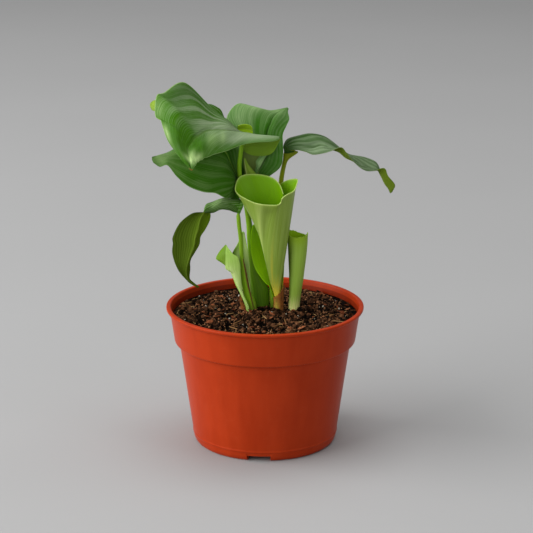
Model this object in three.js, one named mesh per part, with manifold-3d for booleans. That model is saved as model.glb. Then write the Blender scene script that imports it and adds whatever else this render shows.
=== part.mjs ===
// A potted prayer plant: a nursery pot with a stepped collar, potting soil, a rhizome and
// the shoots that grow from it. Millimetres, +Z up, origin at the middle of the pot's base.
// The front of the plant, where the big leaf hangs down, looks along -Y.

import * as THREE from 'three';
import { mergeVertices } from 'three/addons/utils/BufferGeometryUtils.js';
import Module from 'manifold-3d';

const manifold = await Module();
manifold.setup();

// Driving dimensions of the pot
const POT_HEIGHT = 110;
const RIM_RADIUS = 77.5;
const LIP_HEIGHT = 2.2;
const LIP_SLANT = 0.8;
const MOUTH_RADIUS = 74;
const COLLAR_TOP_RADIUS = 74.8;
const COLLAR_FOOT_RADIUS = 71;
const COLLAR_HEIGHT = 28;
const BODY_TOP_RADIUS = 67.4;
const BODY_FOOT_RADIUS = 57.2;
const CORNER_HEIGHT = 8;
const GROUND_RADIUS = 54.5;
const WALL = 1.6;
const PAD_RADIUS = 38;
const FOOT_RING_RADIUS = 50;
const CHANNEL_HEIGHT = 4;
const NOTCH_COUNT = 3;
const NOTCH_WIDTH = 18;
const NOTCH_HEIGHT = 4.5;
const FRONT_NOTCH_ANGLE = -95;
const DRAIN_HOLE_COUNT = 6;
const DRAIN_HOLE_RADIUS = 3.4;
const ROUND_SIDES = 42;

// Driving dimensions of the soil and of what stands in it
const CLEARANCE = 0.3;
const HOLE_ROOM = 0.55;
const SOIL_EDGE_HEIGHT = 102.5;
const SOIL_MOUND = 3.5;
const SOIL_MOUND_REACH = 73;
const SOIL_CRUMB = 0.9;
const FOOT_BOTTOM = 89;
const HOLE_BOTTOM = 87;
const RHIZOME = { fromX: -17, toX: 27, y: 5, topZ: 88.6, halfWidth: 8, halfHeight: 6 };

// Driving dimensions of the foliage
const BLADE_THICKNESS = 0.8;
const SHEATH_THICKNESS = 0.9;
const STALK_SIDES = 10;

// Where each shoot stands in the soil: middle and half size of its foot
const FOOT = {
  stalkA: { x: -3.2, y: 6.5, halfX: 5, halfY: 3 },
  stalkB: { x: 5.9, y: 7.2, halfX: 2, halfY: 2 },
  stalkC: { x: -3, y: 13.6, halfX: 2, halfY: 2 },
  stalkD: { x: -9.8, y: -1, halfX: 3.4, halfY: 2.1 },
  stalkE: { x: 11, y: 12.6, halfX: 2.2, halfY: 2.2 },
  cone: { x: 10.6, y: 0, halfX: 2.9, halfY: 2.9 },
  coneSheath: { x: 10.6, y: 0, halfX: 4.4, halfY: 4.4 },
  spoon: { x: 10.8, y: 5.8, halfX: 2.3, halfY: 0.8 },
  stub: { x: 22.8, y: 2, halfX: 4.5, halfY: 3.5 },
  tornFront: { x: -13.6, y: -3.8, halfX: 1.9, halfY: 1 },
  tornBack: { x: -10, y: 3, halfX: 2.5, halfY: 0.7 },
  scale: { x: -17, y: -1.65, halfX: 2.1, halfY: 0.6 },
};

// Leaf blades as control nets. Each row of a net crosses the blade and holds one edge, the
// midrib, the other edge, and how far each half is crowned above a straight line.
const LEAF_A = [
  [[11, 1, 242], [11, 4, 244], [12, 7, 241], 0, 0],
  [[5, -1, 241], [5, 5, 244], [5, 10.5, 229], 1, 3],
  [[-6, -3, 241], [-6, 5, 245], [-7, 11, 227], 1, 3],
  [[-15, -5, 240], [-15, 4, 247], [-17, 13, 231], 1, 3],
  [[-21, -9, 239], [-21, 3, 248], [-24, 19, 243], 1, 3],
  [[-29, -15, 237], [-28, -2, 250], [-32, 21, 255], 1, 3],
  [[-38, -22, 236], [-38, -7, 251.5], [-43, 20, 265], 2, 1.5],
  [[-43, -27, 235], [-45, -12, 251.5], [-62, 12, 284.6], 1.5, 2.5],
  [[-46, -31, 235], [-50, -18, 249.5], [-77, 0, 279], 1.5, 4.5],
  [[-47, -32, 234], [-52, -20, 248.5], [-82, -4, 278], 1.5, 5.5],
  [[-49, -34, 234], [-54, -22, 247], [-83.5, -9, 270], 1.5, 5.5],
  [[-50, -35, 233], [-55, -24, 245.5], [-82.8, -13, 263], 1.5, 5.5],
  [[-51, -36, 233], [-57, -26.5, 243.5], [-79, -17, 261.5], 1.5, 5],
  [[-51.5, -36.5, 232], [-58, -28, 241.5], [-77, -20, 256], 1.5, 4],
  [[-52, -37, 231], [-58, -30, 239], [-73, -26, 247], 1, 3],
  [[-53, -38, 230], [-57, -34, 233.5], [-65, -32, 237], 1, 2],
  [[-54, -39, 228], [-55, -39, 227.5], [-56, -39, 228], 0, 0],
];
const LEAF_B = [
  [[-11, 14, 207], [-8, 15, 206], [-5, 14, 205], 0, 0],
  [[-7, 13, 218], [-5, 16, 214], [4, 12, 211], 1, 1],
  [[-7, 13.5, 222.5], [-1, 18, 221], [12, 12, 218], 2, 2],
  [[-3, 15.5, 228.5], [2, 21, 228], [14, 13, 227], 2, 2],
  [[-15, 25, 234], [1.2, 24, 235], [14, 16, 235], 2, 2],
  [[-27, 32, 242], [1.8, 27, 242], [14, 21, 242], 2, 2],
  [[-30, 37, 252], [4.2, 31, 248], [17, 26, 248], 2, 2],
  [[-20, 42, 262], [6.8, 35, 253], [19, 31, 252], 2, 1.5],
  [[-2, 43, 254], [11.4, 38, 256], [18, 36, 256], 2, 1],
  [[16, 41, 258], [17.5, 41, 259], [18.5, 40, 258], 0, 0],
];
const LEAF_C = [
  [[-21.5, 9.5, 203.5], [-19, 12.5, 206.5], [-15.5, 16, 208.5], 0, 0],
  [[-24.5, 0, 197.5], [-23, 9.5, 214], [-14, 20, 218], 2, 1],
  [[-30, -8, 198], [-26.5, 7.5, 222], [-16, 26, 226], 4, 2],
  [[-38, -12, 203], [-31, 5, 232], [-24, 30, 234], 5, 3],
  [[-47, -16, 205], [-40, 1, 239], [-38, 30, 241], 5, 3],
  [[-58, -19, 210], [-51, -4, 240], [-54, 27, 243], 5, 3],
  [[-67, -20, 218], [-63, -8, 237], [-68, 20, 231], 4, 2],
  [[-74, -19, 226.5], [-73, -12, 232.6], [-75, 8, 229.8], 2, 1.5],
  [[-80, -17, 225], [-80, -14, 231.5], [-81, -2, 230.4], 1, 1],
  [[-85, -16, 228], [-86, -15, 230], [-86, -13, 232], 0, 0],
];
const LEAF_D = [
  [[-21, -7, 186], [-20, -5, 190], [-18, 2, 194], 0, 0],
  [[-24, -8, 187], [-23, -4, 191], [-21, 3, 195], 1, 1],
  [[-28, -10, 189], [-28, -6, 193], [-27, 2, 195], 1, 1],
  [[-34, -12, 190], [-34, -9, 194], [-33, 0, 196], 1, 1],
  [[-40, -14, 188], [-41, -13, 192], [-40, -3, 194], 1, 1],
  [[-46, -17, 189], [-46, -18, 191], [-45, -8, 193], 1, 1],
  [[-53, -20, 190], [-47, -20, 189], [-42, -15, 189.2], 1, 1],
  [[-58.5, -22, 188], [-49, -24, 186], [-42, -20.5, 184.3], 2, 1],
  [[-65.5, -24, 182], [-51, -28, 179], [-45.5, -25.5, 178], 2, 1],
  [[-70.5, -25, 172], [-53, -30, 172], [-49, -28, 173], 2, 1],
  [[-70.5, -26, 167], [-54, -31, 166], [-50, -29, 167], 2, 1],
  [[-71, -27, 160], [-56.5, -32, 160], [-54, -30, 160], 2, 1],
  [[-69, -28, 152], [-59, -32, 152.5], [-57, -30, 154.5], 1, 0],
  [[-65.5, -29, 145], [-60, -31, 146], [-57.2, -29.6, 147.5], 1, 0],
  [[-60, -29, 138.5], [-58.7, -30, 139.4], [-57.8, -29, 140.4], 0, 0],
  [[-56, -29, 135], [-55.5, -29.4, 136], [-55, -29, 137], 0, 0],
  [[-51.5, -29, 132.4], [-51, -29, 133], [-50.5, -29, 133.6], 0, 0],
];
const LEAF_E = [
  [[14, 24, 230], [16, 20, 230], [19, 17, 230], 0, 0],
  [[15, 30, 232.5], [21, 18, 231.5], [25, 12, 231.5], 0.5, 0],
  [[18, 34, 235.5], [29, 15, 233], [31, 4, 232], 1.5, 0],
  [[26, 34, 238], [37, 11, 233.5], [37, -1, 230.8], 3, 1],
  [[35, 32, 240], [44, 6, 236.6], [45, -4, 232.6], 3, 1],
  [[44, 28, 239], [50.5, -0.5, 235.2], [49.5, -6, 234.4], 3, 0.5],
  [[52, 20, 235], [57, -1, 233], [58, -7, 237.8], 2, 1],
  [[59, 12, 232], [62, -2, 229], [62, -7, 234], 1, 0],
  [[65, 8, 229], [67, -4, 227], [66, -8, 229], 1, 0],
  [[73, 6, 228], [73, -5, 224], [72, -9, 223], 1, 1],
  [[79, 4, 227], [79, -6, 222], [78, -10, 220], 1, 1],
  [[85.6, 2, 224], [86, -7, 220.4], [84, -10, 220.4], 1, 0],
  [[89, 0, 217.5], [88.5, -7, 217], [89, -11, 222.5], 0, 0],
  [[91, -3, 215], [90, -9, 214], [92, -12, 222], 0, 1],
  [[93, -6, 213], [92, -11, 210], [94, -13, 217], 0, 1],
  [[94.5, -10, 208.6], [94.6, -12, 206.6], [99.4, -14, 210.2], 0, 0],
  [[95.4, -12, 204.2], [96, -13, 203.2], [97.6, -13, 204.4], 0, 0],
];

// The two curled bits of leaf A's edge: by the stalk, and at the far left
const CURL_BY_STALK = [
  [[-21, 9, 243], [-21.4, 11, 248.5], [-21, 8.6, 251.5], 0, 0],
  [[-16, 9, 240.5], [-16, 12, 248.5], [-16, 8.8, 252.6], 0, 0],
  [[-11.4, 9, 238.5], [-11.4, 11.6, 247.5], [-11.4, 9.2, 251.6], 0, 0],
  [[-9.4, 9, 239.5], [-9.4, 11, 246.5], [-9.8, 9.4, 249.6], 0, 0],
];
const CURL_AT_LEFT = [
  [[-80.5, -6.5, 273.5], [-83.6, -4, 274], [-85.4, -2, 273], 0, 0],
  [[-81, -9.5, 271], [-85, -4.6, 271.6], [-87.4, -1, 270.8], 0, 0],
  [[-81, -11, 268.6], [-85.2, -6, 268.6], [-87.4, -1.4, 268.2], 0, 0],
  [[-80.5, -12, 266.5], [-84, -8, 266.4], [-86, -4, 266.2], 0, 0],
];

// The spoon-shaped young leaf behind the cone, and the two halves of the torn sheath
const SPOON = [
  [[9, 5.5, 89], [10.8, 5.9, 89], [12.6, 5.5, 89], 0, 0],
  [[9, 5.5, 107.4], [10.8, 5.9, 107.4], [12.6, 5.5, 107.4], 0, 0],
  [[6.1, 2.1, 116], [8.5, 6, 116], [12.4, 6.5, 116], 0, 0],
  [[3.6, -0.5, 124.6], [7, 6.5, 124], [12, 7.5, 125], 0, 0],
  [[0, -0.5, 128], [5.4, 7, 128], [12, 8, 129], 0, 0],
  [[-4, 0.5, 133], [3.6, 7.5, 134], [12, 8.8, 135], 0, 0],
  [[-8, 1.5, 139.5], [1, 8.4, 142], [11, 9.5, 144], 0, 0],
  [[-10.4, 2.4, 149], [-1.6, 9.4, 151], [9, 10.5, 153], 0, 0],
  [[-11, 3, 157], [-4, 10, 160], [5, 11.5, 162], 0, 0],
  [[-11, 3.4, 166], [-6, 9.6, 168], [1, 11.5, 170], 0, 0],
  [[-9.6, 5, 173], [-6.4, 8.4, 175], [-3, 10, 176], 0, 0],
];
const TORN_FRONT = [
  [[-14.8, -3.3, 89], [-13.6, -3.9, 89], [-12.4, -4.3, 89], 0, 0],
  [[-14.8, -3.3, 107.4], [-13.6, -3.9, 107.4], [-12.4, -4.3, 107.4], 0, 0],
  [[-18.8, -3, 119], [-18, -4.4, 119], [-16.6, -5.2, 119], 0, 0],
  [[-22.8, -2.4, 127], [-21.6, -4.6, 127], [-18, -6, 127], 0, 1],
  [[-25.4, -1.6, 133], [-24.4, -4.6, 133], [-18.6, -6.6, 132], 0, 1],
  [[-29.6, 0, 138.4], [-28.4, -4.6, 138.4], [-19, -7, 138.4], 0, 1],
  [[-37.6, 4.6, 144.4], [-30.4, -4.2, 144.4], [-19.4, -7.2, 146], 1, 1],
  [[-36.6, 6, 150], [-30.4, -4, 150.4], [-21, -7.2, 151.4], 1, 1],
  [[-33.6, 5, 154], [-30, -2.6, 154], [-25.6, -6, 154], 0, 0],
  [[-30.6, 2.4, 157], [-29.6, 0, 157.4], [-28.8, -2, 156.6], 0, 0],
];
const TORN_BACK = [
  [[-12.2, 2.8, 89], [-10, 3.2, 89], [-7.9, 2.8, 89], 0, 0],
  [[-12.2, 2.8, 107.4], [-10, 3.2, 107.4], [-7.9, 2.8, 107.4], 0, 0],
  [[-15, 2, 115], [-12.5, 2.8, 116], [-10.6, 2.2, 118], 0, 0],
  [[-19, 1.6, 127], [-14.5, 3.2, 128], [-11.4, 2, 131], 0, 0],
  [[-22.5, 1, 138], [-16, 3.2, 138], [-12, 2.2, 141], 0, 0],
  [[-25.8, 0.6, 147], [-17.5, 3.2, 147], [-13.2, 2.4, 152], 0, 0],
  [[-25, 1, 152.6], [-17.6, 3.4, 155], [-14.6, 2.6, 160], 0, 0],
  [[-20.8, 2, 160], [-17.4, 3.2, 163], [-15.6, 2.8, 165], 0, 0],
  [[-18.2, 3, 167.6], [-17.1, 3.2, 168.6], [-16, 3, 167.6], 0, 0],
];
const BROWN_SCALE = [
  [[-18.8, -1.4, 89], [-17, -1.9, 89], [-15.2, -1.6, 89], 0, 0],
  [[-18.8, -1.4, 107.4], [-17, -1.9, 107.4], [-15.2, -1.6, 107.4], 0, 0],
  [[-19.8, -1.4, 112], [-18.6, -2, 112], [-17.2, -2, 112], 0, 0],
  [[-20.2, -1.4, 118], [-19.4, -1.6, 118.6], [-18.6, -1.6, 118], 0, 0],
];
const SHEATH_TIP = [
  [[-9, 14.4, 192], [-7, 14.8, 192], [-4.8, 14.8, 192], 0, 0],
  [[-14.6, 11, 203], [-10.6, 10.6, 203], [-6.8, 12.4, 203], 0, 0],
  [[-15.2, 10.6, 212], [-11.4, 10.2, 212], [-7.6, 11, 212], 0, 0],
  [[-16.2, 10.4, 219], [-14.4, 10.2, 219], [-12.4, 10.6, 219], 0, 0],
  [[-17.4, 10.4, 225], [-16.8, 10.4, 225.6], [-16.2, 10.4, 225], 0, 0],
];

// Leaf stalks: middle of each level section with its half width and half depth
const STALK_A = [
  [-4, 6.8, 112.4, 5.8, 3],
  [-5, 7.1, 122.4, 6, 2.9],
  [-7.6, 7.5, 132.6, 4.4, 2.5],
  [-9.8, 7.6, 141, 2.7, 2.2],
  [-11.9, 7.5, 160.4, 2.2, 2],
  [-12.5, 7.2, 172.7, 2.1, 2],
  [-14.5, 6.8, 187.5, 1.9, 1.9],
  [-17.6, 6.6, 202, 1.8, 1.8],
  [-19.5, 6.3, 213, 1.7, 1.7],
  [-19.8, 5.2, 221, 1.7, 1.7],
  [-18.9, 3.9, 229.5, 1.7, 1.7],
  [-16.6, 3.2, 245.3, 1.7, 1.7],
];
const STALK_B = [
  [5.4, 8, 116, 2, 2],
  [3.4, 13, 150, 2, 2],
  [-1, 15.5, 180, 2, 2],
  [-5.8, 15.2, 196, 1.9, 1.9],
  [-8, 14.3, 205.1, 1.8, 1.6],
];
const STALK_C = [
  [-4, 13.8, 118, 2, 2],
  [-8.6, 13.8, 140, 2, 2],
  [-12, 13, 172, 1.9, 1.9],
  [-15.6, 12.6, 190, 1.8, 1.8],
  [-18.5, 12.6, 204.9, 1.7, 1.7],
];
const STALK_D = [
  [-11.6, -1.3, 114.1, 3.5, 2.1],
  [-15.7, -2.4, 126.7, 2.2, 1.8],
  [-17.6, -3.4, 141.6, 1.6, 1.6],
  [-18.8, -4.5, 163.8, 1.6, 1.6],
  [-20.1, -5, 175.9, 1.6, 1.6],
  [-20.8, -5.4, 185.7, 1.7, 1.6],
];
const STALK_E = [
  [11, 14, 120, 2.2, 2.2],
  [11, 18, 150, 2, 2],
  [11.8, 22, 184, 1.9, 1.9],
  [12.5, 22.4, 203.5, 1.9, 1.9],
  [14.9, 21.4, 217.6, 1.8, 1.8],
  [16.6, 20.8, 222.4, 2.6, 1.6],
  [19.2, 20.4, 226.2, 5, 1.2],
  [21, 19.6, 229.2, 6.4, 0.8],
];

// The young leaf rolled into a cone. Its rim is a spiral of hand-chosen points, from the
// inner edge at the right, round the back, the left and the front, to the outer flap.
const CONE_RIM = [
  [14, -3, 200.5],
  [11, 2, 207],
  [4.5, 6, 211.5],
  [-8.5, 8, 213.5],
  [-19.5, 3, 212.5],
  [-23, -3, 205.5],
  [-20.5, -9, 201.5],
  [-11.5, -14, 197.5],
  [-4, -16, 195.5],
  [5.5, -17, 195],
  [10.1, -16.6, 196.8],
  [12, -15.6, 201],
  [16.5, -13, 203],
  [21.2, -7.5, 204],
  [23.5, -1, 207.5],
  [24, 4, 210.5],
  [18, 9, 208.5],
  [12.5, 11, 205.5],
];
const CONE_TURN = { from: -4, to: 426 };
const CONE_WAIST = { x: 7, y: -1.5, z: 156, halfX: 7.9, halfY: 5.6, growth: 0.25 };
const CONE_FOOT = { x: 10.6, y: 0, z: 117, halfX: 2.4, halfY: 2.4, growth: 0.45 };

const MATERIALS = {
  pot: new THREE.MeshStandardMaterial({ color: 0xa9472d, roughness: 0.5, metalness: 0 }),
  soil: new THREE.MeshStandardMaterial({ color: 0x3a261c, roughness: 0.95, metalness: 0 }),
  rhizome: new THREE.MeshStandardMaterial({ color: 0x8a6a45, roughness: 0.85, metalness: 0 }),
  leaf: new THREE.MeshStandardMaterial({ color: 0x3f7a35, roughness: 0.45, metalness: 0 }),
  youngLeaf: new THREE.MeshStandardMaterial({ color: 0x7fae3c, roughness: 0.5, metalness: 0 }),
  stalk: new THREE.MeshStandardMaterial({ color: 0x6f9c38, roughness: 0.5, metalness: 0 }),
  sheath: new THREE.MeshStandardMaterial({ color: 0x93b866, roughness: 0.55, metalness: 0 }),
  dryScale: new THREE.MeshStandardMaterial({ color: 0x8a5a2c, roughness: 0.85, metalness: 0 }),
};

// Seeded random numbers between 0 and 1, the same on every run
function randomNumbers(seed) {
  let state = seed;
  return () => {
    state = (state * 1664525 + 1013904223) % 4294967296;
    return state / 4294967296;
  };
}

// Value at place t of a smooth curve through a list of points or numbers, where whole
// values of t are the points themselves
function smooth(list, t) {
  const last = list.length - 1;
  const i = Math.min(Math.max(Math.floor(t), 0), last - 1);
  const f = t - i;
  const at = (k) => {
    if (k < 0) return list[0].map((value, n) => 2 * value - list[1][n]);
    if (k > last) return list[last].map((value, n) => 2 * value - list[last - 1][n]);
    return list[k];
  };
  const [a, b, c, d] = [at(i - 1), at(i), at(i + 1), at(i + 2)];
  return b.map((value, n) => 0.5 * (2 * value + (c[n] - a[n]) * f
    + (2 * a[n] - 5 * value + 4 * c[n] - d[n]) * f ** 2
    + (3 * value - a[n] - 3 * c[n] + d[n]) * f ** 3));
}

const vector = (p) => new THREE.Vector3(p[0], p[1], p[2]);

// A closed body between two copies of a grid of points, half a thickness to either side.
// grid[i][j] is a Vector3; both faces are split into the same triangles.
function slab(grid, thickness) {
  const rows = grid.length;
  const columns = grid[0].length;
  const positions = [];
  const index = [];
  for (const side of [1, -1]) {
    for (let i = 0; i < rows; i += 1) {
      for (let j = 0; j < columns; j += 1) {
        const along = new THREE.Vector3().subVectors(
          grid[Math.min(i + 1, rows - 1)][j],
          grid[Math.max(i - 1, 0)][j],
        );
        const across = new THREE.Vector3().subVectors(
          grid[i][Math.min(j + 1, columns - 1)],
          grid[i][Math.max(j - 1, 0)],
        );
        const normal = across.cross(along).normalize();
        const point = grid[i][j].clone().addScaledVector(normal, side * thickness / 2);
        positions.push(point.x, point.y, point.z);
      }
    }
  }
  const top = (i, j) => i * columns + j;
  const bottom = (i, j) => rows * columns + i * columns + j;
  const quad = (a, b, c, d) => index.push(a, b, c, a, c, d);
  for (let i = 0; i < rows - 1; i += 1) {
    for (let j = 0; j < columns - 1; j += 1) {
      quad(top(i, j), top(i, j + 1), top(i + 1, j + 1), top(i + 1, j));
      index.push(bottom(i, j), bottom(i + 1, j + 1), bottom(i, j + 1));
      index.push(bottom(i, j), bottom(i + 1, j), bottom(i + 1, j + 1));
    }
  }
  for (let i = 0; i < rows - 1; i += 1) {
    quad(top(i, 0), top(i + 1, 0), bottom(i + 1, 0), bottom(i, 0));
    const j = columns - 1;
    quad(top(i, j), bottom(i, j), bottom(i + 1, j), top(i + 1, j));
  }
  for (let j = 0; j < columns - 1; j += 1) {
    quad(top(0, j), bottom(0, j), bottom(0, j + 1), top(0, j + 1));
    const i = rows - 1;
    quad(top(i, j), top(i, j + 1), bottom(i, j + 1), bottom(i, j));
  }
  const geometry = new THREE.BufferGeometry();
  geometry.setAttribute('position', new THREE.Float32BufferAttribute(positions, 3));
  geometry.setIndex(index);
  return geometry;
}

// Surface of a control net: smooth curves run the length of the blade through the edges,
// the midrib and the crowned middle of each half; a parabola joins them across each half.
function bladeGrid(net, rows, columns) {
  const lines = net.map(([first, middle, second, crownFirst, crownSecond], i) => {
    const next = vector(net[Math.min(i + 1, net.length - 1)][1]);
    const before = vector(net[Math.max(i - 1, 0)][1]);
    const along = next.sub(before).normalize();
    const crowned = (from, to, crown) => {
      const up = vector(to).sub(vector(from)).cross(along).normalize();
      return vector(from).lerp(vector(to), 0.5).addScaledVector(up, crown).toArray();
    };
    return [
      first,
      crowned(first, middle, crownFirst),
      middle,
      crowned(middle, second, crownSecond),
      second,
    ];
  });
  const parabola = (outer, half, inner, w) => outer.map((value, n) => value * w * (2 * w - 1)
    + half[n] * 4 * w * (1 - w) + inner[n] * (1 - w) * (1 - 2 * w));
  const grid = [];
  for (let i = 0; i < rows; i += 1) {
    const t = (i / (rows - 1)) * (net.length - 1);
    const cross = [0, 1, 2, 3, 4].map((k) => smooth(lines.map((line) => line[k]), t));
    const row = [];
    for (let j = 0; j < columns; j += 1) {
      const v = (2 * j) / (columns - 1) - 1;
      const point = v < 0 ? parabola(cross[0], cross[1], cross[2], -v)
        : parabola(cross[4], cross[3], cross[2], v);
      row.push(vector(point));
    }
    grid.push(row);
  }
  return grid;
}

// A solid stalk with level elliptical sections, straight up inside the soil and then
// through the given middles
function stalkGeometry(foot, stations) {
  const sections = [
    [foot.x, foot.y, FOOT_BOTTOM, foot.halfX, foot.halfY],
    [foot.x, foot.y, SOIL_EDGE_HEIGHT + SOIL_MOUND + 1, foot.halfX, foot.halfY],
    ...stations,
  ];
  const rows = (sections.length - 1) * 2 + 1;
  const positions = [];
  const index = [];
  for (let i = 0; i < rows; i += 1) {
    const [x, y, z, halfX, halfY] = smooth(sections, i / 2);
    for (let k = 0; k < STALK_SIDES; k += 1) {
      const angle = (2 * Math.PI * k) / STALK_SIDES;
      positions.push(x + halfX * Math.cos(angle), y + halfY * Math.sin(angle), z);
    }
  }
  for (let i = 0; i < rows - 1; i += 1) {
    for (let k = 0; k < STALK_SIDES; k += 1) {
      const a = i * STALK_SIDES + k;
      const b = i * STALK_SIDES + ((k + 1) % STALK_SIDES);
      index.push(a, b, b + STALK_SIDES, a, b + STALK_SIDES, a + STALK_SIDES);
    }
  }
  const lastRing = (rows - 1) * STALK_SIDES;
  for (let k = 1; k < STALK_SIDES - 1; k += 1) {
    index.push(0, k + 1, k);
    index.push(lastRing, lastRing + k, lastRing + k + 1);
  }
  const geometry = new THREE.BufferGeometry();
  geometry.setAttribute('position', new THREE.Float32BufferAttribute(positions, 3));
  geometry.setIndex(index);
  return geometry;
}

// A closed geometry as a solid that can be joined and cut
function solid(geometry) {
  const bare = geometry.clone();
  bare.deleteAttribute('normal');
  bare.deleteAttribute('uv');
  const merged = mergeVertices(bare, 1e-4);
  return new manifold.Manifold(new manifold.Mesh({
    numProp: 3,
    vertProperties: new Float32Array(merged.attributes.position.array),
    triVerts: new Uint32Array(merged.index.array),
  }));
}

function geometryOf(body) {
  const mesh = body.getMesh();
  const geometry = new THREE.BufferGeometry();
  geometry.setAttribute('position', new THREE.BufferAttribute(mesh.vertProperties, 3));
  geometry.setIndex(new THREE.BufferAttribute(mesh.triVerts, 1));
  return geometry;
}

// A turned body: profile points are [radius, height], from the axis back to the axis
function turned(profile, sides = ROUND_SIDES) {
  const points = profile.map(([radius, height]) => new THREE.Vector2(radius, height));
  const geometry = new THREE.LatheGeometry(points, sides);
  geometry.rotateX(Math.PI / 2);
  return geometry;
}

// The pot: one thin wall with a flat rim, a stepped collar, a floor raised over a ring
// channel, drain holes in the channel, and notches through the foot ring for the water
function makePot() {
  const collarFoot = POT_HEIGHT - COLLAR_HEIGHT;
  const floor = CHANNEL_HEIGHT + WALL;
  const profile = [
    [0, 0],
    [PAD_RADIUS, 0],
    [PAD_RADIUS + 1.5, CHANNEL_HEIGHT],
    [FOOT_RING_RADIUS - 1, CHANNEL_HEIGHT],
    [FOOT_RING_RADIUS, 0],
    [GROUND_RADIUS - 0.5, 0],
    [GROUND_RADIUS + 0.9, 1],
    [GROUND_RADIUS + 2, 3.5],
    [BODY_FOOT_RADIUS, CORNER_HEIGHT],
    [BODY_TOP_RADIUS, collarFoot - 1],
    [BODY_TOP_RADIUS + 1, collarFoot],
    [COLLAR_FOOT_RADIUS - 0.6, collarFoot],
    [COLLAR_FOOT_RADIUS, collarFoot + 0.7],
    [COLLAR_TOP_RADIUS, POT_HEIGHT - LIP_HEIGHT - LIP_SLANT],
    [RIM_RADIUS - 0.4, POT_HEIGHT - LIP_HEIGHT],
    [RIM_RADIUS, POT_HEIGHT - LIP_HEIGHT + 0.6],
    [RIM_RADIUS, POT_HEIGHT - 0.9],
    [RIM_RADIUS - 0.9, POT_HEIGHT],
    [MOUTH_RADIUS + 0.4, POT_HEIGHT],
    [MOUTH_RADIUS, POT_HEIGHT - 0.6],
    [COLLAR_TOP_RADIUS - WALL, POT_HEIGHT - LIP_HEIGHT - LIP_SLANT - 1],
    [COLLAR_FOOT_RADIUS - WALL, collarFoot + WALL],
    [BODY_TOP_RADIUS - WALL, collarFoot + WALL],
    [BODY_TOP_RADIUS - WALL, collarFoot - 1],
    [BODY_FOOT_RADIUS - WALL, CORNER_HEIGHT + 1],
    [BODY_FOOT_RADIUS - WALL - 1.5, floor],
    [0, floor],
  ];
  let pot = solid(turned(profile));
  const turnOf = (k, count) => {
    const start = THREE.MathUtils.degToRad(FRONT_NOTCH_ANGLE);
    return start + (2 * Math.PI * k) / count;
  };
  for (let k = 0; k < NOTCH_COUNT; k += 1) {
    const notch = new THREE.BoxGeometry(12, NOTCH_WIDTH, 2 * NOTCH_HEIGHT);
    notch.translate(FOOT_RING_RADIUS + 4, 0, 0);
    notch.rotateZ(turnOf(k, NOTCH_COUNT));
    pot = pot.subtract(solid(notch));
  }
  for (let k = 0; k < DRAIN_HOLE_COUNT; k += 1) {
    const drain = new THREE.CylinderGeometry(DRAIN_HOLE_RADIUS, DRAIN_HOLE_RADIUS, 12, 12);
    drain.rotateX(Math.PI / 2);
    drain.translate((PAD_RADIUS + FOOT_RING_RADIUS) / 2, 0, floor);
    drain.rotateZ(turnOf(k, DRAIN_HOLE_COUNT));
    pot = pot.subtract(solid(drain));
  }
  return geometryOf(pot);
}

// Height of the soil at a distance from the middle, before its crumbs
function soilHeight(radius) {
  return SOIL_EDGE_HEIGHT + SOIL_MOUND * Math.cos((radius / SOIL_MOUND_REACH) * (Math.PI / 2)) ** 1.5;
}

// The soil: it fills the pot, clear of its wall, with a crumbly mounded top, a plain hole
// for each shoot and a room for the rhizome
function makeSoil(rhizome) {
  const random = randomNumbers(7);
  const collarFoot = POT_HEIGHT - COLLAR_HEIGHT;
  const gap = CLEARANCE / Math.cos(Math.PI / ROUND_SIDES);
  const bodyRadius = BODY_TOP_RADIUS - WALL - gap;
  const wallRadius = (height) => THREE.MathUtils.mapLinear(
    height,
    collarFoot + WALL,
    POT_HEIGHT - LIP_HEIGHT - LIP_SLANT - 1,
    COLLAR_FOOT_RADIUS - WALL,
    COLLAR_TOP_RADIUS - WALL,
  ) - gap;
  const topRings = 7;
  const outline = [[0, CHANNEL_HEIGHT + WALL + CLEARANCE]];
  outline.push([BODY_FOOT_RADIUS - WALL - 1.9, CHANNEL_HEIGHT + WALL + CLEARANCE]);
  outline.push([BODY_FOOT_RADIUS - WALL - gap, CORNER_HEIGHT + 1.4]);
  outline.push([bodyRadius, collarFoot - 1]);
  outline.push([bodyRadius, collarFoot + WALL + CLEARANCE]);
  outline.push([wallRadius(collarFoot + WALL + CLEARANCE), collarFoot + WALL + CLEARANCE]);
  outline.push([wallRadius(SOIL_EDGE_HEIGHT), SOIL_EDGE_HEIGHT]);
  for (let k = topRings; k >= 0; k -= 1) {
    const radius = (wallRadius(SOIL_EDGE_HEIGHT) - 1.5) * (k / topRings);
    outline.push([radius, soilHeight(radius)]);
  }
  const geometry = turned(outline);
  geometry.deleteAttribute('normal');
  geometry.deleteAttribute('uv');
  const merged = mergeVertices(geometry, 1e-3);
  const place = merged.attributes.position;
  for (let i = 0; i < place.count; i += 1) {
    const radius = Math.hypot(place.getX(i), place.getY(i));
    const inside = radius < wallRadius(SOIL_EDGE_HEIGHT) - 1;
    const onTop = place.getZ(i) > SOIL_EDGE_HEIGHT + 0.05 && inside;
    if (onTop) place.setZ(i, place.getZ(i) + SOIL_CRUMB * (2 * random() - 1));
  }
  let soil = solid(merged);
  for (const foot of Object.values(FOOT)) {
    const top = POT_HEIGHT + 5;
    const hole = new THREE.CylinderGeometry(1, 1, top - HOLE_BOTTOM, 14);
    hole.rotateX(Math.PI / 2);
    hole.scale(foot.halfX + HOLE_ROOM, foot.halfY + HOLE_ROOM, 1);
    hole.translate(foot.x, foot.y, (top + HOLE_BOTTOM) / 2);
    soil = soil.subtract(solid(hole));
  }
  soil = soil.subtract(solid(rhizome));
  return geometryOf(soil);
}

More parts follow.
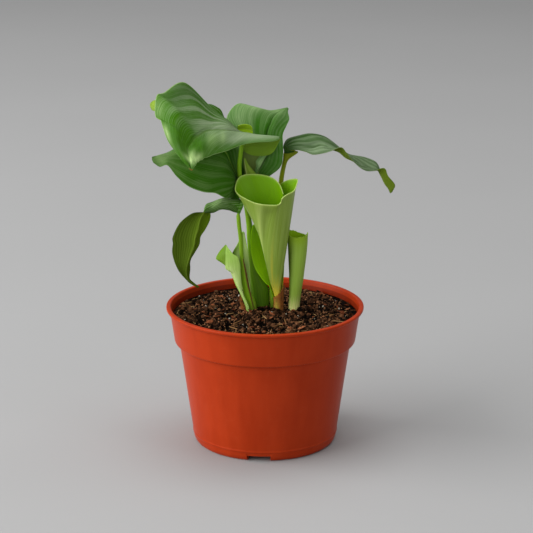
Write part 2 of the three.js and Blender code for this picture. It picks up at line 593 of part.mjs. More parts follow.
// The rhizome: a level knobbly rootstock just under the feet of the shoots, larger all
// round by a clearance when it cuts its room in the soil
function makeRhizome(clearance) {
  const { fromX, toX, y, topZ, halfWidth, halfHeight } = RHIZOME;
  const facetRoom = 1.4;
  const outline = [[0, fromX - clearance]];
  const knuckles = 9;
  for (let k = 0; k <= knuckles; k += 1) {
    const swell = 0.86 + 0.14 * Math.cos(k * Math.PI);
    const end = Math.sin((Math.PI * (k + 0.8)) / (knuckles + 1.6)) ** 0.35;
    const place = THREE.MathUtils.mapLinear(
      k,
      0,
      knuckles,
      fromX + 0.6 - clearance,
      toX - 0.6 + clearance,
    );
    outline.push([swell * end + (facetRoom * clearance) / halfHeight, place]);
  }
  outline.push([0, toX + clearance]);
  const geometry = turned(outline, 14);
  geometry.rotateY(Math.PI / 2);
  geometry.scale(1, halfWidth, halfHeight);
  geometry.translate(0, y, topZ - halfHeight);
  return geometry;
}

// A ring point of the rolled cone at a turn angle in degrees: an ellipse that widens as it
// turns, so that the outer layer lies clear of the inner one
function coneRing(ring, angle) {
  const share = (angle - CONE_TURN.from) / (CONE_TURN.to - CONE_TURN.from);
  const size = 1 + ring.growth * share;
  const turn = THREE.MathUtils.degToRad(angle);
  return [
    ring.x + ring.halfX * size * Math.cos(turn),
    ring.y + ring.halfY * size * Math.sin(turn),
    ring.z,
  ];
}

// The cone: each upright line is a parabola from the foot ring by the waist ring to the rim
function makeCone() {
  const rows = 11;
  const columns = 34;
  const grid = [];
  for (let i = 0; i < rows; i += 1) {
    const up = i / (rows - 1);
    const row = [];
    for (let j = 0; j < columns; j += 1) {
      const share = j / (columns - 1);
      const narrow = CONE_TURN.from + (CONE_TURN.to - CONE_TURN.from) * share;
      const foot = coneRing(CONE_FOOT, CONE_TURN.from + 318 * share);
      const waist = coneRing(CONE_WAIST, narrow);
      const rim = smooth(CONE_RIM, share * (CONE_RIM.length - 1));
      const point = foot.map((value, n) => value * (1 - up) * (1 - 2 * up)
        + waist[n] * 4 * up * (1 - up) + rim[n] * up * (2 * up - 1));
      row.push(vector(point));
    }
    grid.push(row);
  }
  const funnel = slab(grid, SHEATH_THICKNESS);
  const stem = stalkGeometry(FOOT.cone, [[CONE_FOOT.x, CONE_FOOT.y, CONE_FOOT.z + 3, 2.6, 2.6]]);
  return geometryOf(solid(funnel).add(solid(stem)));
}

// A sheath rolled round a middle line: a sheet that follows an open ellipse, from a level
// foot to a rim whose height changes round the turn
function rolledSheath({ sections, fromAngle, toAngle, rim, rows, columns, thickness }) {
  const grid = [];
  const bottom = sections[0][2];
  for (let i = 0; i < rows; i += 1) {
    const row = [];
    for (let j = 0; j < columns; j += 1) {
      const share = j / (columns - 1);
      const [rimHeight] = smooth(rim.map((height) => [height]), share * (rim.length - 1));
      const height = bottom + (rimHeight - bottom) * (i / (rows - 1));
      let k = 0;
      while (k < sections.length - 2 && sections[k + 1][2] < height) k += 1;
      const t = k + (height - sections[k][2]) / (sections[k + 1][2] - sections[k][2]);
      const [x, y, , halfX, halfY] = smooth(sections, Math.min(t, sections.length - 1));
      const turn = THREE.MathUtils.degToRad(fromAngle + (toAngle - fromAngle) * share);
      row.push(new THREE.Vector3(x + halfX * Math.cos(turn), y + halfY * Math.sin(turn), height));
    }
    grid.push(row);
  }
  return slab(grid, thickness);
}

// The cut-off leaf sheath at the right: an open tube with a ragged rim, higher at the back
function makeStub() {
  return rolledSheath({
    sections: [
      [22.8, 2, 89, 4, 3],
      [22.8, 2, 107.4, 4, 3],
      [23.6, 2, 118, 4.4, 3.2],
      [24.5, 2.5, 130, 5.3, 3.7],
      [25.6, 3.7, 154, 6.8, 4.3],
      [25.8, 4, 170, 7.3, 4.6],
    ],
    fromAngle: 100,
    toAngle: 451,
    rim: [167.5, 168.5, 169.5, 166.5, 164, 163, 163, 163.8, 166.4, 165.4, 165.6, 167],
    rows: 9,
    columns: 22,
    thickness: SHEATH_THICKNESS,
  });
}

// The dry brown sheath round the foot of the cone, open towards the left
function makeConeSheath() {
  return rolledSheath({
    sections: [
      [10.6, 0, 89, 3.7, 3.7],
      [10.6, 0, 107.4, 3.7, 3.7],
      [10.6, 0, 112, 3.8, 3.8],
      [10.4, 0, 118, 4.3, 4.3],
      [10.1, 0, 122, 4.9, 4.7],
      [9.9, 0, 127, 5.8, 5.2],
    ],
    fromAngle: -160,
    toAngle: 172,
    rim: [116.6, 118, 121.5, 126.4, 124.5, 118, 113, 110.5],
    rows: 8,
    columns: 20,
    thickness: 0.6,
  });
}

function node(name, geometry, material) {
  const mesh = new THREE.Mesh(geometry, material);
  mesh.name = name;
  return mesh;
}

function blade(net, rows, columns, thickness = BLADE_THICKNESS) {
  return slab(bladeGrid(net, rows, columns), thickness);
}

// Leaf A with the two curled bits of its edge
function makeLeafA() {
  return geometryOf(solid(blade(LEAF_A, 30, 11))
    .add(solid(blade(CURL_BY_STALK, 7, 7)))
    .add(solid(blade(CURL_AT_LEFT, 7, 7))));
}

// The stalk of leaf B with the pointed sheath on its left side
function makeStalkB() {
  const stalk = solid(stalkGeometry(FOOT.stalkB, STALK_B));
  return geometryOf(stalk.add(solid(blade(SHEATH_TIP, 9, 5))));
}

const plant = new THREE.Group();
plant.add(
  node('pot', makePot(), MATERIALS.pot),
  node('soil', makeSoil(makeRhizome(CLEARANCE)), MATERIALS.soil),
  node('rhizome', makeRhizome(0), MATERIALS.rhizome),
  node('leaf_a_blade', makeLeafA(), MATERIALS.leaf),
  node('leaf_b_blade', blade(LEAF_B, 20, 9), MATERIALS.leaf),
  node('leaf_c_blade', blade(LEAF_C, 20, 9), MATERIALS.leaf),
  node('leaf_d_blade', blade(LEAF_D, 30, 7), MATERIALS.leaf),
  node('leaf_e_blade', blade(LEAF_E, 30, 7), MATERIALS.leaf),
  node('leaf_a_stalk', stalkGeometry(FOOT.stalkA, STALK_A), MATERIALS.stalk),
  node('leaf_b_stalk', makeStalkB(), MATERIALS.stalk),
  node('leaf_c_stalk', stalkGeometry(FOOT.stalkC, STALK_C), MATERIALS.stalk),
  node('leaf_d_stalk', stalkGeometry(FOOT.stalkD, STALK_D), MATERIALS.stalk),
  node('leaf_e_stalk', stalkGeometry(FOOT.stalkE, STALK_E), MATERIALS.stalk),
  node('young_leaf_cone', makeCone(), MATERIALS.youngLeaf),
  node('young_leaf_spoon', blade(SPOON, 18, 7), MATERIALS.youngLeaf),
  node('cut_sheath_stub', makeStub(), MATERIALS.sheath),
  node('torn_sheath_front', blade(TORN_FRONT, 18, 7), MATERIALS.sheath),
  node('torn_sheath_back', blade(TORN_BACK, 18, 7), MATERIALS.sheath),
  node('brown_cone_sheath', makeConeSheath(), MATERIALS.dryScale),
  node('brown_scale', blade(BROWN_SCALE, 10, 5, 0.6), MATERIALS.dryScale),
);

export default plant;
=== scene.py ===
"""The looks of a potted prayer plant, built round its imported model.

A finer piece stands for each node and keeps its form: blades with veins and curled margins,
stalks, rolled and torn sheaths, a moulded pot and loose soil. Points and sizes are written in
millimetres, as in the part's source, and the meshes are in metres.
"""
import math

import bpy
import numpy as np
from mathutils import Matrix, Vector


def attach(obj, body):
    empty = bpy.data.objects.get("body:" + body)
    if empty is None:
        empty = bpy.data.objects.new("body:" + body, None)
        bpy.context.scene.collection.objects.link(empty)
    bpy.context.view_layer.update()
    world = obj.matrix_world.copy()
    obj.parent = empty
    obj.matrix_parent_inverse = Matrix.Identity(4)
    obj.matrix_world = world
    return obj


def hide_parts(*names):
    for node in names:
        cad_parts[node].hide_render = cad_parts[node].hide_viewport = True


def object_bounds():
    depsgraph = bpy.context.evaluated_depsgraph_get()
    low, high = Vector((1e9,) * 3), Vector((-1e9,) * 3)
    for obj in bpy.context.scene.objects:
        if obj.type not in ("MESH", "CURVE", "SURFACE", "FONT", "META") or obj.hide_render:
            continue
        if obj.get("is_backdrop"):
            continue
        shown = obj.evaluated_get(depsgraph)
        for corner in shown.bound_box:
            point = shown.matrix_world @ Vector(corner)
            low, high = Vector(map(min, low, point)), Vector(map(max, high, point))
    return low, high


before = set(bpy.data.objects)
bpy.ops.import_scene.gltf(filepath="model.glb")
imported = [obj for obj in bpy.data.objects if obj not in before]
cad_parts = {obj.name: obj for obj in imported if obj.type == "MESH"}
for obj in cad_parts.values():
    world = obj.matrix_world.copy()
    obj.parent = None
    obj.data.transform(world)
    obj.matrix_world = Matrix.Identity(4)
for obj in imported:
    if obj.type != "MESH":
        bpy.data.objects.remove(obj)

CAD_BOX = [list(corner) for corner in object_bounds()]
MM = 0.001

# Leaf blades as control nets, as in the part's source. Each row of a net crosses the blade and
# holds one edge, the midrib and the other edge, and then how far each half is crowned above a
# line, where it is.
LEAF_A = [
  [[11, 1, 242], [11, 4, 244], [12, 7, 241]],
  [[5, -1, 241], [5, 5, 244], [5, 10.5, 229], 1, 3],
  [[-6, -3, 241], [-6, 5, 245], [-7, 11, 227], 1, 3],
  [[-15, -5, 240], [-15, 4, 247], [-17, 13, 231], 1, 3],
  [[-21, -9, 239], [-21, 3, 248], [-24, 19, 243], 1, 3],
  [[-29, -15, 237], [-28, -2, 250], [-32, 21, 255], 1, 3],
  [[-38, -22, 236], [-38, -7, 251.5], [-43, 20, 265], 2, 1.5],
  [[-43, -27, 235], [-45, -12, 251.5], [-62, 12, 284.6], 1.5, 2.5],
  [[-46, -31, 235], [-50, -18, 249.5], [-77, 0, 279], 1.5, 4.5],
  [[-47, -32, 234], [-52, -20, 248.5], [-82, -4, 278], 1.5, 5.5],
  [[-49, -34, 234], [-54, -22, 247], [-83.5, -9, 270], 1.5, 5.5],
  [[-50, -35, 233], [-55, -24, 245.5], [-82.8, -13, 263], 1.5, 5.5],
  [[-51, -36, 233], [-57, -26.5, 243.5], [-79, -17, 261.5], 1.5, 5],
  [[-51.5, -36.5, 232], [-58, -28, 241.5], [-77, -20, 256], 1.5, 4],
  [[-52, -37, 231], [-58, -30, 239], [-73, -26, 247], 1, 3],
  [[-53, -38, 230], [-57, -34, 233.5], [-65, -32, 237], 1, 2],
  [[-54, -39, 228], [-55, -39, 227.5], [-56, -39, 228]],
]
LEAF_B = [
  [[-11, 14, 207], [-8, 15, 206], [-5, 14, 205]],
  [[-7, 13, 218], [-5, 16, 214], [4, 12, 211], 1, 1],
  [[-7, 13.5, 222.5], [-1, 18, 221], [12, 12, 218], 2, 2],
  [[-3, 15.5, 228.5], [2, 21, 228], [14, 13, 227], 2, 2],
  [[-15, 25, 234], [1.2, 24, 235], [14, 16, 235], 2, 2],
  [[-27, 32, 242], [1.8, 27, 242], [14, 21, 242], 2, 2],
  [[-30, 37, 252], [4.2, 31, 248], [17, 26, 248], 2, 2],
  [[-20, 42, 262], [6.8, 35, 253], [19, 31, 252], 2, 1.5],
  [[-2, 43, 254], [11.4, 38, 256], [18, 36, 256], 2, 1],
  [[16, 41, 258], [17.5, 41, 259], [18.5, 40, 258]],
]
LEAF_C = [
  [[-21.5, 9.5, 203.5], [-19, 12.5, 206.5], [-15.5, 16, 208.5]],
  [[-24.5, 0, 197.5], [-23, 9.5, 214], [-14, 20, 218], 2, 1],
  [[-30, -8, 198], [-26.5, 7.5, 222], [-16, 26, 226], 4, 2],
  [[-38, -12, 203], [-31, 5, 232], [-24, 30, 234], 5, 3],
  [[-47, -16, 205], [-40, 1, 239], [-38, 30, 241], 5, 3],
  [[-58, -19, 210], [-51, -4, 240], [-54, 27, 243], 5, 3],
  [[-67, -20, 218], [-63, -8, 237], [-68, 20, 231], 4, 2],
  [[-74, -19, 226.5], [-73, -12, 232.6], [-75, 8, 229.8], 2, 1.5],
  [[-80, -17, 225], [-80, -14, 231.5], [-81, -2, 230.4], 1, 1],
  [[-85, -16, 228], [-86, -15, 230], [-86, -13, 232]],
]
LEAF_D = [
  [[-21, -7, 186], [-20, -5, 190], [-18, 2, 194]],
  [[-24, -8, 187], [-23, -4, 191], [-21, 3, 195], 1, 1],
  [[-28, -10, 189], [-28, -6, 193], [-27, 2, 195], 1, 1],
  [[-34, -12, 190], [-34, -9, 194], [-33, 0, 196], 1, 1],
  [[-40, -14, 188], [-41, -13, 192], [-40, -3, 194], 1, 1],
  [[-46, -17, 189], [-46, -18, 191], [-45, -8, 193], 1, 1],
  [[-53, -20, 190], [-47, -20, 189], [-42, -15, 189.2], 1, 1],
  [[-58.5, -22, 188], [-49, -24, 186], [-42, -20.5, 184.3], 2, 1],
  [[-65.5, -24, 182], [-51, -28, 179], [-45.5, -25.5, 178], 2, 1],
  [[-70.5, -25, 172], [-53, -30, 172], [-49, -28, 173], 2, 1],
  [[-70.5, -26, 167], [-54, -31, 166], [-50, -29, 167], 2, 1],
  [[-71, -27, 160], [-56.5, -32, 160], [-54, -30, 160], 2, 1],
  [[-69, -28, 152], [-59, -32, 152.5], [-57, -30, 154.5], 1, 0],
  [[-65.5, -29, 145], [-60, -31, 146], [-57.2, -29.6, 147.5], 1, 0],
  [[-60, -29, 138.5], [-58.7, -30, 139.4], [-57.8, -29, 140.4]],
  [[-56, -29, 135], [-55.5, -29.4, 136], [-55, -29, 137]],
  [[-51.5, -29, 132.4], [-51, -29, 133], [-50.5, -29, 133.6]],
]
LEAF_E = [
  [[14, 24, 230], [16, 20, 230], [19, 17, 230]],
  [[15, 30, 232.5], [21, 18, 231.5], [25, 12, 231.5], 0.5, 0],
  [[18, 34, 235.5], [29, 15, 233], [31, 4, 232], 1.5, 0],
  [[26, 34, 238], [37, 11, 233.5], [37, -1, 230.8], 3, 1],
  [[35, 32, 240], [44, 6, 236.6], [45, -4, 232.6], 3, 1],
  [[44, 28, 239], [50.5, -0.5, 235.2], [49.5, -6, 234.4], 3, 0.5],
  [[52, 20, 235], [57, -1, 233], [58, -7, 237.8], 2, 1],
  [[59, 12, 232], [62, -2, 229], [62, -7, 234], 1, 0],
  [[65, 8, 229], [67, -4, 227], [66, -8, 229], 1, 0],
  [[73, 6, 228], [73, -5, 224], [72, -9, 223], 1, 1],
  [[79, 4, 227], [79, -6, 222], [78, -10, 220], 1, 1],
  [[85.6, 2, 224], [86, -7, 220.4], [84, -10, 220.4], 1, 0],
  [[89, 0, 217.5], [88.5, -7, 217], [89, -11, 222.5]],
  [[91, -3, 215], [90, -9, 214], [92, -12, 222], 0, 1],
  [[93, -6, 213], [92, -11, 210], [94, -13, 217], 0, 1],
  [[94.5, -10, 208.6], [94.6, -12, 206.6], [99.4, -14, 210.2]],
  [[95.4, -12, 204.2], [96, -13, 203.2], [97.6, -13, 204.4]],
]

# The two curled bits of leaf A's edge: by the stalk, and at the far left
CURL_BY_STALK = [
  [[-21, 9, 243], [-21.4, 11, 248.5], [-21, 8.6, 251.5]],
  [[-16, 9, 240.5], [-16, 12, 248.5], [-16, 8.8, 252.6]],
  [[-11.4, 9, 238.5], [-11.4, 11.6, 247.5], [-11.4, 9.2, 251.6]],
  [[-9.4, 9, 239.5], [-9.4, 11, 246.5], [-9.8, 9.4, 249.6]],
]
CURL_AT_LEFT = [
  [[-80.5, -6.5, 273.5], [-83.6, -4, 274], [-85.4, -2, 273]],
  [[-81, -9.5, 271], [-85, -4.6, 271.6], [-87.4, -1, 270.8]],
  [[-81, -11, 268.6], [-85.2, -6, 268.6], [-87.4, -1.4, 268.2]],
  [[-80.5, -12, 266.5], [-84, -8, 266.4], [-86, -4, 266.2]],
]

# The spoon-shaped young leaf behind the cone, the back of the torn sheath, and a dry scale
SPOON = [
  [[9, 5.5, 89], [10.8, 5.9, 89], [12.6, 5.5, 89]],
  [[9, 5.5, 107.4], [10.8, 5.9, 107.4], [12.6, 5.5, 107.4]],
  [[6.1, 2.1, 116], [8.5, 6, 116], [12.4, 6.5, 116]],
  [[3.6, -0.5, 124.6], [7, 6.5, 124], [12, 7.5, 125]],
  [[0, -0.5, 128], [5.4, 7, 128], [12, 8, 129]],
  [[-4, 0.5, 133], [3.6, 7.5, 134], [12, 8.8, 135]],
  [[-8, 1.5, 139.5], [1, 8.4, 142], [11, 9.5, 144]],
  [[-10.4, 2.4, 149], [-1.6, 9.4, 151], [9, 10.5, 153]],
  [[-11, 3, 157], [-4, 10, 160], [5, 11.5, 162]],
  [[-11, 3.4, 166], [-6, 9.6, 168], [1, 11.5, 170]],
  [[-9.6, 5, 173], [-6.4, 8.4, 175], [-3, 10, 176]],
]
TORN_BACK = [
  [[-12.2, 2.8, 89], [-10, 3.2, 89], [-7.9, 2.8, 89]],
  [[-12.2, 2.8, 107.4], [-10, 3.2, 107.4], [-7.9, 2.8, 107.4]],
  [[-15, 2, 115], [-12.5, 2.8, 116], [-10.6, 2.2, 118]],
  [[-19, 1.6, 127], [-14.5, 3.2, 128], [-11.4, 2, 131]],
  [[-22.5, 1, 138], [-16, 3.2, 138], [-12, 2.2, 141]],
  [[-25.8, 0.6, 147], [-17.5, 3.2, 147], [-13.2, 2.4, 152]],
  [[-25, 1, 152.6], [-17.6, 3.4, 155], [-14.6, 2.6, 160]],
  [[-20.8, 2, 160], [-17.4, 3.2, 163], [-15.6, 2.8, 165]],
  [[-18.2, 3, 167.6], [-17.1, 3.2, 168.6], [-16, 3, 167.6]],
]
BROWN_SCALE = [
  [[-18.8, -1.4, 89], [-17, -1.9, 89], [-15.2, -1.6, 89]],
  [[-18.8, -1.4, 107.4], [-17, -1.9, 107.4], [-15.2, -1.6, 107.4]],
  [[-19.8, -1.4, 112], [-18.6, -2, 112], [-17.2, -2, 112]],
  [[-20.2, -1.4, 118], [-19.4, -1.6, 118.6], [-18.6, -1.6, 118]],
]

# A bump of leaf A's back edge that shows over it
BACK_BUMP = [
  [[-45, 26, 264], [-45, 23, 265.4], [-44, 19.9, 266]],
  [[-41.5, 28, 262.5], [-41.5, 24, 264.8], [-41.5, 20.1, 263.4]],
  [[-37.5, 28.5, 260], [-37.5, 24, 263], [-38, 20.4, 260.2]],
  [[-34, 28, 257], [-34.2, 24, 260.4], [-35, 20.7, 257.4]],
  [[-31.8, 25.5, 252], [-31.4, 23.5, 253.6], [-32, 20.9, 254.6]],
]

# The lobes of the bases of leaves C, D and E that hang beside their stalks
LEAF_C_LOBE = [
  [[-24.6, 1, 202], [-26, -1.6, 199.4], [-28, -3.6, 197.4]],
  [[-22.8, 4.4, 202.2], [-23.6, 4.2, 198.2], [-24.6, 4, 193.8]],
  [[-20.4, 7, 202.2], [-19.6, 7.6, 198], [-20, 7.6, 192.8]],
]
LEAF_D_LOBE = [
  [[-18.3, 1.2, 194.3], [-20.3, -5.8, 190.3], [-21.5, -7.8, 186.2]],
  [[-17.4, 0, 194], [-18.2, -5, 190.6], [-20.5, -7.8, 185.6]],
  [[-17, -2, 193.4], [-16.7, -4.2, 190.8], [-19.4, -7.4, 185.2]],
]
LEAF_E_LOBE = [
  [[14.9, 18.4, 234.6], [14.5, 17.2, 231.4], [14.8, 17, 228.2]],
  [[16.4, 17.8, 233], [16.2, 17, 230.4], [16.4, 16.9, 227.6]],
  [[18.2, 16.5, 231], [18.3, 16.4, 229.2], [18.4, 16.3, 227.8]],
  [[20.4, 16, 230], [20.4, 16, 229], [20.4, 16, 228.3]],
  [[22.6, 15.8, 229.7], [22.6, 15.7, 229.5], [22.7, 15.6, 229.2]],
]

# The front of the torn sheath, whose first half is folded back into a flap near its top
TORN_FRONT = [
  [[-14.8, -3.3, 89], [-13.6, -3.9, 89], [-12.4, -4.3, 89]],
  [[-14.8, -3.3, 107.4], [-13.6, -3.9, 107.4], [-12.4, -4.3, 107.4]],
  [[-18.8, -3, 119], [-18, -4.4, 119], [-16.6, -5.2, 119]],
  [[-22.8, -2.4, 127], [-21.6, -4.6, 127], [-18, -6, 127], 0, 1],
  [[-25.2, -2, 133.4], [-24.2, -4.6, 133], [-18.6, -6.6, 132], 0, 1],
  [[-27.2, -2.4, 138], [-26.4, -4.8, 137.6], [-19, -7, 137.4], 0, 1],
  [[-30.4, -3, 140.2], [-29.4, -4.6, 140], [-19.2, -7.1, 140.4], 0, 1],
  [[-31, -1.6, 142.6], [-30.3, -4.3, 142.4], [-19.3, -7.2, 143], 0, 1],
  [[-34.8, 2, 144.2], [-30.4, -4.2, 144.6], [-19.5, -7.2, 145.6], 0, 1],
  [[-38.2, 5, 146], [-30.4, -4.1, 147], [-20.2, -7.2, 148.2], 0.5, 1],
  [[-36.2, 5.4, 150.6], [-30.4, -4, 150.4], [-21, -7.2, 151], 1, 0.6],
  [[-33.2, 4.4, 154.8], [-30.3, -3.6, 153.6], [-24.4, -6.6, 152.8], 0.5, 0],
  [[-30.6, 1.6, 158.4], [-29.8, -1, 158.4], [-28.6, -4, 156.6]],
]
TORN_FLAP_START = 0.6

# A sheath's pointed tip beside leaf A's stalk, with its light margin, and its other half behind,
# which is darkened all over as painted shade
SHEATH_TIP = [
  [[-9, 14.4, 192], [-7, 14.8, 192], [-4.8, 14.8, 192]],
  [[-13, 11.6, 203], [-9.6, 11, 203], [-5.8, 12.4, 203]],
  [[-14.6, 11, 211], [-10.6, 10.4, 211], [-6, 11.4, 211]],
  [[-15.2, 10.8, 216], [-12.6, 10.2, 216], [-9.6, 10.8, 216]],
  [[-15.7, 10.6, 220.5], [-14.4, 10.2, 220.5], [-13, 10.6, 220.5]],
  [[-16, 10.4, 225], [-15.7, 10.4, 225.6], [-15.3, 10.4, 225]],
]
SHEATH_BACK = [
  [[-15.6, 15, 209], [-10.6, 15.4, 209], [-5.4, 15.2, 209]],
  [[-16.8, 14.8, 218], [-10.4, 15.4, 218], [-4.6, 15.2, 218]],
  [[-17.2, 14.4, 226], [-10.6, 15, 226], [-4, 14.9, 226]],
  [[-17, 14.2, 231], [-11.4, 14.6, 232], [-4.4, 14.7, 232]],
]

# A web of sheath beside leaf D's stalk, with a dry brown margin
SHEATH_WEB = [
  [[-9.8, -2.7, 104], [-9, -3, 104], [-7.6, -2.8, 104]],
  [[-12.4, -3.3, 116], [-11.4, -3.8, 116], [-10.2, -3.7, 116]],
  [[-15.8, -4, 127], [-14.2, -4.3, 127], [-12.5, -3.8, 127]],
  [[-17.3, -4.6, 138], [-16, -5, 138], [-14.4, -4.6, 138]],
  [[-18, -5, 146], [-17.2, -5.4, 146.2], [-16.2, -5.2, 146]],
  [[-18.2, -5.2, 149], [-17.7, -5.4, 149.4], [-17.2, -5.3, 149]],
]

# Leaf stalks: middle of each level section with its half width and half depth
STALK_A = [
  [-3.25, 6.8, 112.4, 6.55, 3],
  [-4.4, 7.1, 122.4, 6.6, 2.9],
  [-7.6, 7.5, 132.6, 4.4, 2.5],
  [-9.8, 7.6, 141, 2.7, 2.2],
  [-11.9, 7.5, 160.4, 2.2, 2],
  [-12.5, 7.2, 172.7, 2.1, 2],
  [-14.5, 6.8, 187.5, 1.9, 1.9],
  [-17.6, 6.6, 202, 1.8, 1.8],
  [-19.5, 6.3, 213, 1.7, 1.7],
  [-19.8, 5.2, 221, 1.7, 1.7],
  [-18.9, 3.9, 229.5, 1.7, 1.7],
  [-16.6, 3.2, 245.3, 1.7, 1.7],
]
STALK_B = [
  [5.4, 8, 116, 2, 2],
  [3.4, 13, 150, 2, 2],
  [-1, 15.5, 180, 2, 2],
  [-5.8, 15.2, 196, 1.9, 1.9],
  [-8, 14.3, 205.1, 1.8, 1.6],
]
STALK_C = [
  [-4, 13.8, 118, 2, 2],
  [-8.6, 13.8, 140, 2, 2],
  [-12, 13, 172, 1.9, 1.9],
  [-15.6, 12.6, 190, 1.8, 1.8],
  [-18.5, 12.6, 204.9, 1.7, 1.7],
]
STALK_D = [
  [-11.6, -1.3, 114.1, 3.5, 2.1],
  [-15.7, -2.4, 126.7, 2.2, 1.8],
  [-17.6, -3.4, 141.6, 1.6, 1.6],
  [-18.8, -4.5, 163.8, 1.6, 1.6],
  [-20.1, -5, 175.9, 1.6, 1.6],
  [-20.8, -5.4, 185.7, 1.7, 1.6],
]
STALK_E = [
  [11, 14, 120, 2.2, 2.2],
  [11, 18, 150, 2, 2],
  [11.8, 22, 184, 1.9, 1.9],
  [12.5, 22.4, 203.5, 1.9, 1.9],
  [14.9, 21.4, 217.6, 1.8, 1.8],
  [16.6, 20.8, 222.4, 2.6, 1.6],
  [19.2, 20.4, 226.2, 5, 1.2],
  [21, 19.6, 229.2, 6.4, 0.8],
]

# The rim of the rolled leaf: a spiral from the inner edge at the right, round the back, the left
# and the front, to the outer flap
CONE_RIM = [
  [14, -3, 200.5],
  [11, 2, 207],
  [4.5, 6, 211.5],
  [-8.5, 8, 213.5],
  [-19.5, 3, 212.5],
  [-23, -3, 205.5],
  [-20.5, -9, 201.5],
  [-11.5, -14, 197.5],
  [-4, -16, 195.5],
  [5.5, -17, 195],
  [10.4, -16.8, 196],
  [12.5, -15.8, 200.4],
  [16.5, -13, 202.8],
  [21.2, -7.5, 204],
  [23.5, -1, 207.5],
  [24, 4, 210.5],
  [18, 9, 208.5],
  [12.5, 11, 205.5],
]

# Feet of the shoots in the soil: middle and half sizes
FOOT_A = (-2.45, 6.5, 5.75, 3)
FOOT_B = (5.9, 7.2, 2, 2)
FOOT_C = (-3, 13.6, 2, 2)
FOOT_D = (-9.8, -1, 3.4, 2.1)
FOOT_E = (11, 12.6, 2.2, 2.2)
FOOT_CONE = (10.6, 0, 2.9, 2.9)
FOOT_HEIGHTS = (89, 107)

# The rolled leaf's turn in degrees, and its rings: middle, height, half sizes and how much an
# outer layer is wider
CONE_TURN = (-4, 426)
CONE_FOOT_TURN = 318
CONE_WAIST = (7, -1.5, 156, 7.9, 5.6, 0.25)
CONE_FOOT = (10.6, 0, 117, 2.4, 2.4, 0.45)

# Rolled sheaths: level sections, the turn in degrees, and the height of the rim round the turn
STUB_SECTIONS = [
  [22.8, 2, 89, 4, 3],
  [22.8, 2, 107.4, 4, 3],
  [23.6, 2, 118, 4.4, 3.2],
  [24.5, 2.5, 130, 5.3, 3.7],
  [25.4, 3.7, 154, 7.1, 4.3],
  [25.4, 4, 170, 7.9, 4.6],
]
STUB_TURN = (96, 456)
STUB_RIM = [167.3, 168.6, 169.6, 167, 165.2, 164.6, 164.8, 165.4, 167.2, 165.2, 165.6, 167.3]
PAPER_SECTIONS = [
  [10.6, 0, 89, 3.7, 3.7],
  [10.6, 0, 107.4, 3.7, 3.7],
  [10.6, 0, 112, 3.8, 3.8],
  [10.4, 0, 118, 4.3, 4.3],
  [10.1, 0, 122, 4.9, 4.7],
  [9.9, 0, 127, 5.8, 5.2],
]
PAPER_TURN = (-160, 172)
PAPER_RIM = [116.6, 118, 121.5, 126.4, 124.5, 118, 113, 110.5]

# The pot
POT_HEIGHT = 110
RIM_RADIUS = 77.5
LIP = 2.2
LIP_SLANT = 0.8
MOUTH_RADIUS = 74
COLLAR_TOP = 74.8
COLLAR_FOOT = 71
COLLAR_HEIGHT = 28
BODY_TOP = 67.4
BODY_FOOT = 57.2
CORNER = 8
GROUND_RADIUS = 54.5
WALL = 1.6
PAD_RADIUS = 38
RING_RADIUS = 50
CHANNEL = 4
NOTCHES = 3
NOTCH_WIDTH = 18
NOTCH_HEIGHT = 4.5
FRONT_NOTCH = -95
DRAIN_HOLES = 6
DRAIN_RADIUS = 3.4

# The soil
SOIL_EDGE = 102.5
SOIL_MOUND = 3.5
SOIL_REACH = 73
STREWN_REACH = 69
# Heights and widths of its lumps, from the coarse to the fine
SOIL_LUMPS = [(1.9, 11), (1.9, 5.5), (1.2, 2.6), (0.5, 1.2)]

# Half the thickness of a blade, the length of one unit of grain, and colours that pieces share
HALF_BLADE = 0.3
GRAIN_LENGTH = 30
DARK_GREEN = (63.19, 79.89, 25.46)
WHITISH_GREEN = (187.52, 203.42, 144.26)
DRY_TIP = (150, 92, 40)

# The camera: how far in front, how high, how far right, its tilt down, and its lens on a
# 36 mm sensor
CAMERA = (1.17, -1500, 580.4)
CAMERA_TILT = 16.326
LENS = 135.2
FLOOR_SIDE = 6000


def through(points, places):
    """Catmull-Rom curve through a list of points: whole places are the points themselves, and a
    cubic joins each two of them with the slope of their outer neighbours."""
    points = np.asarray(points, float)
    flat = points.ndim == 1
    points = points.reshape(len(points), -1)
    ends = np.concatenate([2 * points[:1] - points[1:2], points, 2 * points[-1:] - points[-2:-1]])
    i = np.clip(np.floor(places).astype(int), 0, len(points) - 2)
    f = (places - i)[..., None]
    a, b, c, d = (ends[i + k] for k in range(4))
    curve = b + 0.5 * ((c - a) * f + (2 * a - 5 * b + 4 * c - d) * f**2
                       + (3 * b - a - 3 * c + d) * f**3)
    return curve[..., 0] if flat else curve


def unit(vectors):
    """Vectors divided by their lengths."""
    return vectors / np.maximum(np.linalg.norm(vectors, axis=-1, keepdims=True), 1e-9)


def step(values, low, high):
    """0 below low, 1 above high, and a smooth cubic between them."""
    share = np.clip((values - low) / (high - low), 0, 1)
    return share * share * (3 - 2 * share)


def round_turn(sides):
    """Angles evenly round a full turn."""
    return 2 * math.pi * np.arange(sides) / sides


def patches(x, y, size, seed):
    """Smooth random numbers from -1 to 1: random values on a square lattice of that size, blended
    between the four nearest with smooth cubics."""
    table = np.random.default_rng(seed).uniform(-1, 1, (64, 64))
    u, v = x / size + 320.5, y / size + 320.5
    i, j = np.floor(u).astype(int), np.floor(v).astype(int)
    f, g = step(u - i, 0, 1), step(v - j, 0, 1)
    corner = lambda a, b: table[(i + a) % 64, (j + b) % 64]
    return ((corner(0, 0) * (1 - f) + corner(1, 0) * f) * (1 - g)
            + (corner(0, 1) * (1 - f) + corner(1, 1) * f) * g)


def spread(*parts):
    """Grid of points, or of marks, from parts that may each change along one side only."""
    return np.stack(np.broadcast_arrays(*parts), axis=-1)


